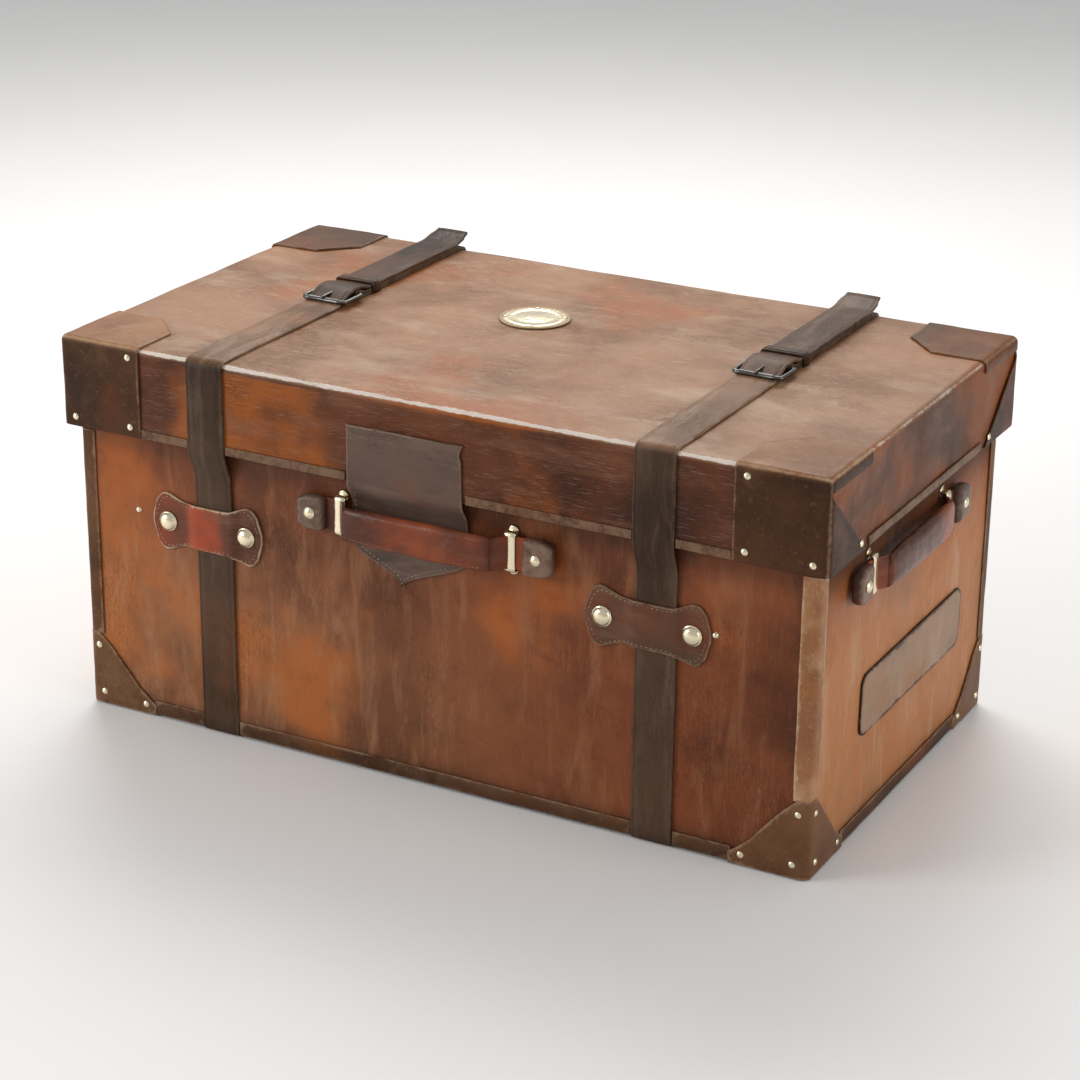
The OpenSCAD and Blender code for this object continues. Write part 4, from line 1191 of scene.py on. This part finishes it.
for seed, (side, (place, along, out)) in enumerate(handles.items()):
    stand = stands[side]
    rings, line = [], []
    for i in range(41):
        t = -1 + i / 20
        ends = abs(t) ** 5
        tall = 36 * MM * (1 - 0.10 * ends) * (1 + 0.02 * math.sin(9 * t))
        thick = GRIP_T * (1 - 0.5 * ends)
        rings.append(grip_ring(place, GRIP * t, stand + GRIP_T / 2, tall, thick))
        if abs(t) < 0.92:
            line.append(place(GRIP * t, stand + GRIP_T / 2 + thick * 0.34, tall * 0.39))
    grip = loft(rings)
    face = place(0, 0, 0)
    paint(grip, "wear", lambda co: 0.55 * fade((co - face).dot(out), stand + 9 * MM, stand + GRIP_T))
    dent(grip, 0.5 * MM, 0.03, seed + 71, 0.2)
    body = "grip_" + side + "_body"
    piece("grip_cover_" + side, grip, grip_hide, body, ("grip_" + side,), "handle_leather")
    up = Vector((0, 0, 1))
    rows = [stitches(line, out, 4.2 * MM, 3 * MM)]
    rows.append(stitches([p - up * 2 * (p.z - HANDLE_Z) for p in line], out, 4.2 * MM, 3 * MM))
    piece("grip_stitches_" + side, join(rows), thread, body, slot="handle_leather")

# %% [markdown]
# When the grip is lifted, the stop ends slide in and the arms between them bend. A rigid arm would part from
# one or the other, so each arm is blended between the two. The stop end is a thick block, rounded and dented.

# %% Arms and stop ends
ARM = strap_section(33 * MM, 3.4 * MM, 0.3 * MM)
STOP_NEAR, STOP_FAR, STOP_HALF = 108.2 * MM, 140 * MM, 18.5 * MM
STOP_IN, STOP_OUT = 2.4 * MM, 15 * MM
for seed, (side, (place, along, out)) in enumerate(handles.items()):
    mid_w = stands[side] + GRIP_T / 2
    for which, s in (("a", -1), ("b", 1)):
        route = [(70, mid_w / MM - 1.5), (79, mid_w / MM - 3), (87, 4.4 + (mid_w / MM - 7) * 0.3), (93, 3.8),
                 (101, 3.8), (110, 3.8)]
        path = bend([place(s * u * MM, w * MM, 0) for u, w in route], 6 * MM, 2.2 * MM)
        turn = Vector((0, 0, 1)) * (1 if (path[-1] - path[0]).cross(Vector((0, 0, 1))).dot(out) < 0 else -1)
        arm = sweep(path, ARM, turn)
        paint(arm, "wear", lambda co: 0.7 * fade(abs(co.z - HANDLE_Z), 13 * MM, 16.5 * MM))
        made = piece("arm_" + side + "_" + which, arm, grip_hide, None, slot="handle_leather")
        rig.blend(made, "grip_" + side + "_body", "stop_" + side + "_" + which + "_body",
                 place(s * 70 * MM, mid_w, 0), place(s * 92 * MM, 5 * MM, 0))
        low = Vector((STOP_NEAR, STOP_IN, -STOP_HALF))
        high = Vector((STOP_FAR, STOP_OUT, STOP_HALF))
        stop = block(low, high, 4 * MM, 5.5 * MM)
        soften(stop, low, high, 5.5 * MM)
        for v in stop.verts:
            v.co.z *= 1 - 0.22 * fade(v.co.x, STOP_FAR - 16 * MM, STOP_FAR)
            v.co = place(s * v.co.x, v.co.y, v.co.z)
        dent(stop, 0.5 * MM, 0.018, seed * 2 + s + 81, 0.9)
        face = place(0, 0, 0)
        paint(stop, "wear", lambda co: 0.5 + 0.4 * fade((co - face).dot(out), 9 * MM, STOP_OUT))
        piece("stop_end_" + side + "_" + which, stop, flap_hide, "stop_" + side + "_" + which + "_body",
              ("stop_" + side + "_" + which,), "handle_leather")

# %% [markdown]
# Each loop is a flat brass bar bent into a square hoop, with a round foot where it enters the leather. A cut
# block would have sharp inner corners. A swept bar keeps its section through the bends.

# %% Brass loops
LOOP_U, LOOP_HALF, LOOP_OUT = 93 * MM, 19.4 * MM, 8.1 * MM
bar = [(-5.2, -0.9), (-6, -0.2), (-6, 0.2), (-5.2, 0.9), (-2, 1.25), (2, 1.25), (5.2, 0.9), (6, 0.2),
       (6, -0.2), (5.2, -0.9)]
bar = [(a * MM, b * MM) for a, b in bar]
foot_plate = [(5.5 * MM, 0), (6 * MM, 0.5 * MM), (4 * MM, 1.2 * MM), (0, 1.4 * MM)]
for side, (place, along, out) in handles.items():
    parts = []
    for s in (-1, 1):
        u = s * LOOP_U
        hoop = ((0, -LOOP_HALF), (LOOP_OUT, -LOOP_HALF), (LOOP_OUT, LOOP_HALF), (0, LOOP_HALF))
        path = [place(u, w, v) for w, v in hoop]
        parts.append(sweep(bend(path, 5 * MM, 1.5 * MM), bar, along))
        for v in (-LOOP_HALF, LOOP_HALF):
            parts.append(turned(foot_plate, place(u, 0.1 * MM, v), out))
    loops = join(parts)
    dent(loops, 0.15 * MM, 0.02, 91, 0)
    piece("brass_loops_" + side, loops, brass, "case", ("handle_loops_" + side,), "brass")

# %% [markdown]
# ## Buckles, plate, label and linings
# The buckle's frame turns on its heel bar under the folded strap, and the prong lies through the strap on to
# the front bar. A round brass plate is fixed on the lid, and a leather patch is stuck on the right end.

# %% Buckles
ROLLER = [(0, 0), (2.9, 0), (3.0, 1), (2.75, 2), (2.75, 34), (3.0, 35), (2.9, 36), (0, 36)]
for side, x in (("left", -STRAP_X), ("right", STRAP_X)):
    a, b, z = FRAME_HALF - 2.2 * MM, FRONT_BAR + 2.2 * MM, heel.z
    turn = [(x - a, heel.y, z), (x - a, b, z), (x + a, b, z), (x + a, heel.y, z)]
    arch = bend(turn, 6 * MM, 2.5 * MM)
    frame_bar = sweep(arch, circle(2.2 * MM, 14), (0, 0, 1))
    heel_bar = sweep(bend([(x - a, heel.y, z), (x + a, heel.y, z)], 1, 4 * MM), circle(2 * MM, 14), (0, 0, 1))
    roller = turned([(r * MM, h * MM) for r, h in ROLLER], (x - 18 * MM, b, z), (1, 0, 0), 20)
    whole = join([frame_bar, heel_bar, roller])
    dent(whole, 0.12 * MM, 0.01, 95, 0)
    piece("buckle_" + side, whole, iron, "frame_" + side, ("buckle_frame_" + side,), "dark_iron")
    p_low, p_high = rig.box("buckle_prong_" + side)
    path = [(x, heel.y, z + 3.6 * MM), (x, b + 6 * MM, p_high.z - 2 * MM),
            (x, p_low.y + 1.5 * MM, p_high.z - 2.6 * MM)]
    taper = lambda t: 1 - 0.45 * fade(t, 0.75, 1)
    tongue_bar = sweep(bend(path, 6 * MM, 2 * MM), circle(1.6 * MM, 12), across, size=taper)
    eye = [(x, heel.y + 3.6 * MM * math.cos(t * math.tau / 20), z + 3.6 * MM * math.sin(t * math.tau / 20))
           for t in range(20)]
    ring = sweep(eye, circle(1.4 * MM, 10), across, closed=True)
    prong = join([tongue_bar, ring])
    dent(prong, 0.1 * MM, 0.01, 97, 0)
    piece("prong_" + side, prong, iron, "prong_" + side, ("buckle_prong_" + side,), "dark_iron")

# %% [markdown]
# The plate is blank, with a raised rim, a groove and a slightly domed middle, and four small pins hold it. It
# is turned from one profile. The groove is painted dirty, because polish never reaches it.

# %% Round plate
p_low, p_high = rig.box("round_plate")
centre, R = (p_low + p_high) / 2, (p_high.x - p_low.x) / 2
rims = [(0, 0), (0, 0.5), (0.4, 1.0), (2.0, 1.5), (3.4, 1.2), (4.0, 0.8), (9, 0.9), (10, 1.3), (11, 0.9),
        (18, 1.2), (27, 1.9), (33, 2.2), (36.5, 2.25)]
profile = [(R - inward * MM, h * MM) for inward, h in rims]
plate = turned(profile, (centre.x, centre.y, TOP_Z), (0, 0, 1), 72)
pins = [(centre.x + (R - 6.5 * MM) * math.cos(a), centre.y + (R - 6.5 * MM) * math.sin(a), TOP_Z + 0.7 * MM)
        for a in (0.4, 1.97, 3.54, 5.11)]
plate = join([plate] + [stud(at, (0, 0, 1), 2.2 * MM, 1.4 * MM) for at in pins])
paint(plate, "dirt", lambda co: 0.7 if (Vector((co.x, co.y)) - centre.xy).length > R - 4.4 * MM else 0.0)
piece("plate", plate, brass, "lid", ("round_plate",), "brass")

# %% [markdown]
# A thick patch of tan leather is stuck on the right end, and its rim is burnished dark. Its row of tones ends
# with a dark colour, so the same paint that makes other rims pale makes this one dark.

# %% Label patch
p_low, p_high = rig.box("label_patch")
centre, half_u, half_v = (p_low + p_high) / 2, (p_high.y - p_low.y) / 2, (p_high.z - p_low.z) / 2
LABEL_R = 12 * MM
label_outline = []
for cu, cv, start in ((1, 1, 0), (-1, 1, 90), (-1, -1, 180), (1, -1, 270)):
    for k in range(7):
        a = math.radians(start + 15 * k)
        label_outline.append((cu * (half_u - LABEL_R) + LABEL_R * math.cos(a),
                              cv * (half_v - LABEL_R) + LABEL_R * math.sin(a)))
label = patch(label_outline, 2 * MM, 9 * MM, on_end(CASE_X, 1, centre.y, centre.z), 0.7 * MM, 8 * MM)
dent(label, 0.4 * MM, 0.04, 99, 0.5)
piece("label", label, patch_hide, "case", ("label_patch",), "patch_leather")

# %% [markdown]
# A strip of leather is folded over the case's rim and hides the edges of boards and lining. Four mitred
# strips would show their joints. One hook-shaped section carried round the whole rim has none.

# %% The rim's cover
lining_low, lining_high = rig.box("case_lining")
in_x, in_y = lining_high.x, lining_high.y
wall = CASE_X - in_x
hook = [(-wall - 0.2 * MM, -9 * MM), (-wall - 2.0 * MM, -8.5 * MM), (-wall - 2.0 * MM, -0.6 * MM),
        (-wall - 0.5 * MM, 0), (-0.5 * MM, 0), (0, -0.5 * MM), (0, -1.6 * MM), (-wall - 0.2 * MM, -1.6 * MM)]
outline = [(-1 + i / 30, -1) for i in range(60)] + [(1, -1 + i / 20) for i in range(40)]
outline += [(-x, -y) for x, y in outline]
rings = []
for fx, fy in outline:
    ox = math.copysign(1, fx) if abs(fx) == 1 else 0
    oy = math.copysign(1, fy) if abs(fy) == 1 else 0
    rings.append([Vector((fx * CASE_X + ox * a, fy * CASE_Y + oy * a, RIM_Z + b)) for a, b in hook])
rim = loft(rings, closed=True)
paint(rim, "wear", lambda co: 0.8 * fade(co.z, RIM_Z - 2 * MM, RIM_Z))
dent(rim, 0.2 * MM, 0.05, 101, 0.3)
piece("rim_cover", rim, cap_hide, "case", ("case_rim_strip",), "cap_leather")

# %% [markdown]
# The lining is cloth glued inside the case. It never moves, so it needs no simulation: an open box a little
# smaller than the inside, with faint waves, will do. Its flat size is its own area, written as a rectangle
# whose long side is half the way round the inside. It is not a pattern to cut from.

# %% The case's lining
low, high = Vector((-in_x, -in_y, lining_low.z)), Vector((in_x, in_y, lining_high.z))
cloth = block(low, high, 26 * MM, 4 * MM)
drop(cloth, lambda at, n: n.z > 0.9)
soften(cloth, low, high, 4 * MM, ("+z",))
dent(cloth, 0.3 * MM, 0.08, 103, 1.0)
cloth_area = sum(f.calc_area() for f in cloth.faces)
case_cloth = piece("case_cloth", cloth, lining_cloth, "case", ("case_lining",), "lining", 0.5 * MM,
                   solid=False)
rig.sheet(case_cloth, flat=(2 * (in_x + in_y), cloth_area / (2 * (in_x + in_y))), held="stretched",
         rests_on=("case_boards_long", "case_boards_end", "case_board_base"))

# %% [markdown]
# One flat cloth is glued under the lid's top board, between the rails. It is a thin patch of that size.

# %% The lid's lining
lining_low, lining_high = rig.box("lid_lining")
flat = rect(lining_low.x, lining_high.x, lining_low.y, lining_high.y)
under = lambda u, v, w: Vector((u, v, lining_high.z - w))
cloth = patch(flat, 0.8 * MM, 24 * MM, under, 0.3 * MM)
dent(cloth, 0.3 * MM, 0.08, 104, 0.6)
lid_cloth = piece("lid_cloth", cloth, lining_cloth, "lid", ("lid_lining",), "lining")
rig.sheet(lid_cloth, flat=(lining_high.x - lining_low.x, lining_high.y - lining_low.y), held="stretched",
         rests_on="lid_top_board")
print("pieces:", len(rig.pieces()))

# %% [markdown]
# ## Floor, light and camera
# Soft light shows leather best, because a bare lamp would leave hard white spots on it. The floor is one
# pale sheet that runs far past the trunk, so its far edge doesn't cut through the main view.

# %% Floor
ground = Finish("floor")
tone = ground.noise(ground.place(), 3, 3)
ground.surface(Base_Color=ground.mix(tone, (0.86, 0.855, 0.85), (0.9, 0.895, 0.89)), Roughness=0.6)
floor = bpy.data.meshes.new("floor")
floor.from_pydata([(-40, -40, 0), (40, -40, 0), (40, 40, 0), (-40, 40, 0)], [], [(0, 1, 2, 3)])
floor.materials.append(ground.mat)
floor = bpy.data.objects.new("floor", floor)
bpy.context.scene.collection.objects.link(floor)
print("floor:", [round(side) for side in floor.dimensions.xy], "m")

# %% [markdown]
# One large light stands behind and above for the sheen on the lid, one on the right shapes the end, and one
# in front on the left fills the shade. The room's own pale light lifts what they all miss.

# %% Lights
def soft_light(name, at, target, size, power, colour=(1, 1, 1)):
    lamp = bpy.data.lights.new(name, "AREA")
    lamp.shape, lamp.size, lamp.size_y = "RECTANGLE", size[0], size[1]
    lamp.energy, lamp.color = power, colour
    made = bpy.data.objects.new(name, lamp)
    made.location = at
    made.rotation_euler = (Vector(target) - Vector(at)).to_track_quat("-Z", "Y").to_euler()
    bpy.context.scene.collection.objects.link(made)
    return made

lights = [
    soft_light("overhead", (-0.9, 1.6, 2.2), (-0.1, 0, 0.3), (2.2, 1.4), 52, (1.0, 0.985, 0.96)),
    soft_light("right_window", (2.6, -0.2, 0.9), (0.3, 0, 0.1), (1.4, 1.2), 18, (1.0, 0.98, 0.95)),
    soft_light("front_fill", (-2.3, -2.2, 1.2), (-0.2, 0, 0.2), (1.4, 1.2), 44, (1.0, 0.99, 0.97)),
]
world = bpy.data.worlds.new("room")
world.use_nodes = True
world.node_tree.nodes["Background"].inputs[0].default_value = (1, 1, 1, 1)
world.node_tree.nodes["Background"].inputs[1].default_value = 0.5
bpy.context.scene.world = world
bpy.context.scene.view_settings.view_transform = "Standard"
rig.stage(floor, *lights)
print("lights:", ", ".join(lamp.name for lamp in lights))

# %% [markdown]
# The camera stands high, in front and to the right, with a long lens so that the far corner hardly shrinks.
# It could be aimed with a Track To constraint. Its three axes are given instead, so that nothing moves it.

# %% Camera
from mathutils import Matrix

look = bpy.data.cameras.new("camera")
look.lens, look.sensor_width = 96.1, 36
camera = bpy.data.objects.new("camera", look)
aside = Vector((0.88016, 0.47458, 0.00992))
upward = Vector((-0.18363, 0.32114, 0.92906))
backward = aside.cross(upward)
turn = Matrix((aside, upward, backward)).transposed().to_4x4()
camera.matrix_world = Matrix.Translation((1.29069, -2.41538, 1.27171)) @ turn
bpy.context.scene.collection.objects.link(camera)
bpy.context.scene.camera = camera
print("camera at", [round(c, 2) for c in camera.matrix_world.translation])

# %% [markdown]
# Both boxes, of the frame and of the look, are written down side by side.

# %% Sizes of the frame and of the look, written side by side
look_box = [list(corner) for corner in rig.bounds()]
with open("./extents.json", "w") as out_file:
    json.dump({"cad": cad_box, "look": look_box}, out_file)
print("cad box", [[round(c, 4) for c in p] for p in cad_box])
print("look box", [[round(c, 4) for c in p] for p in look_box])
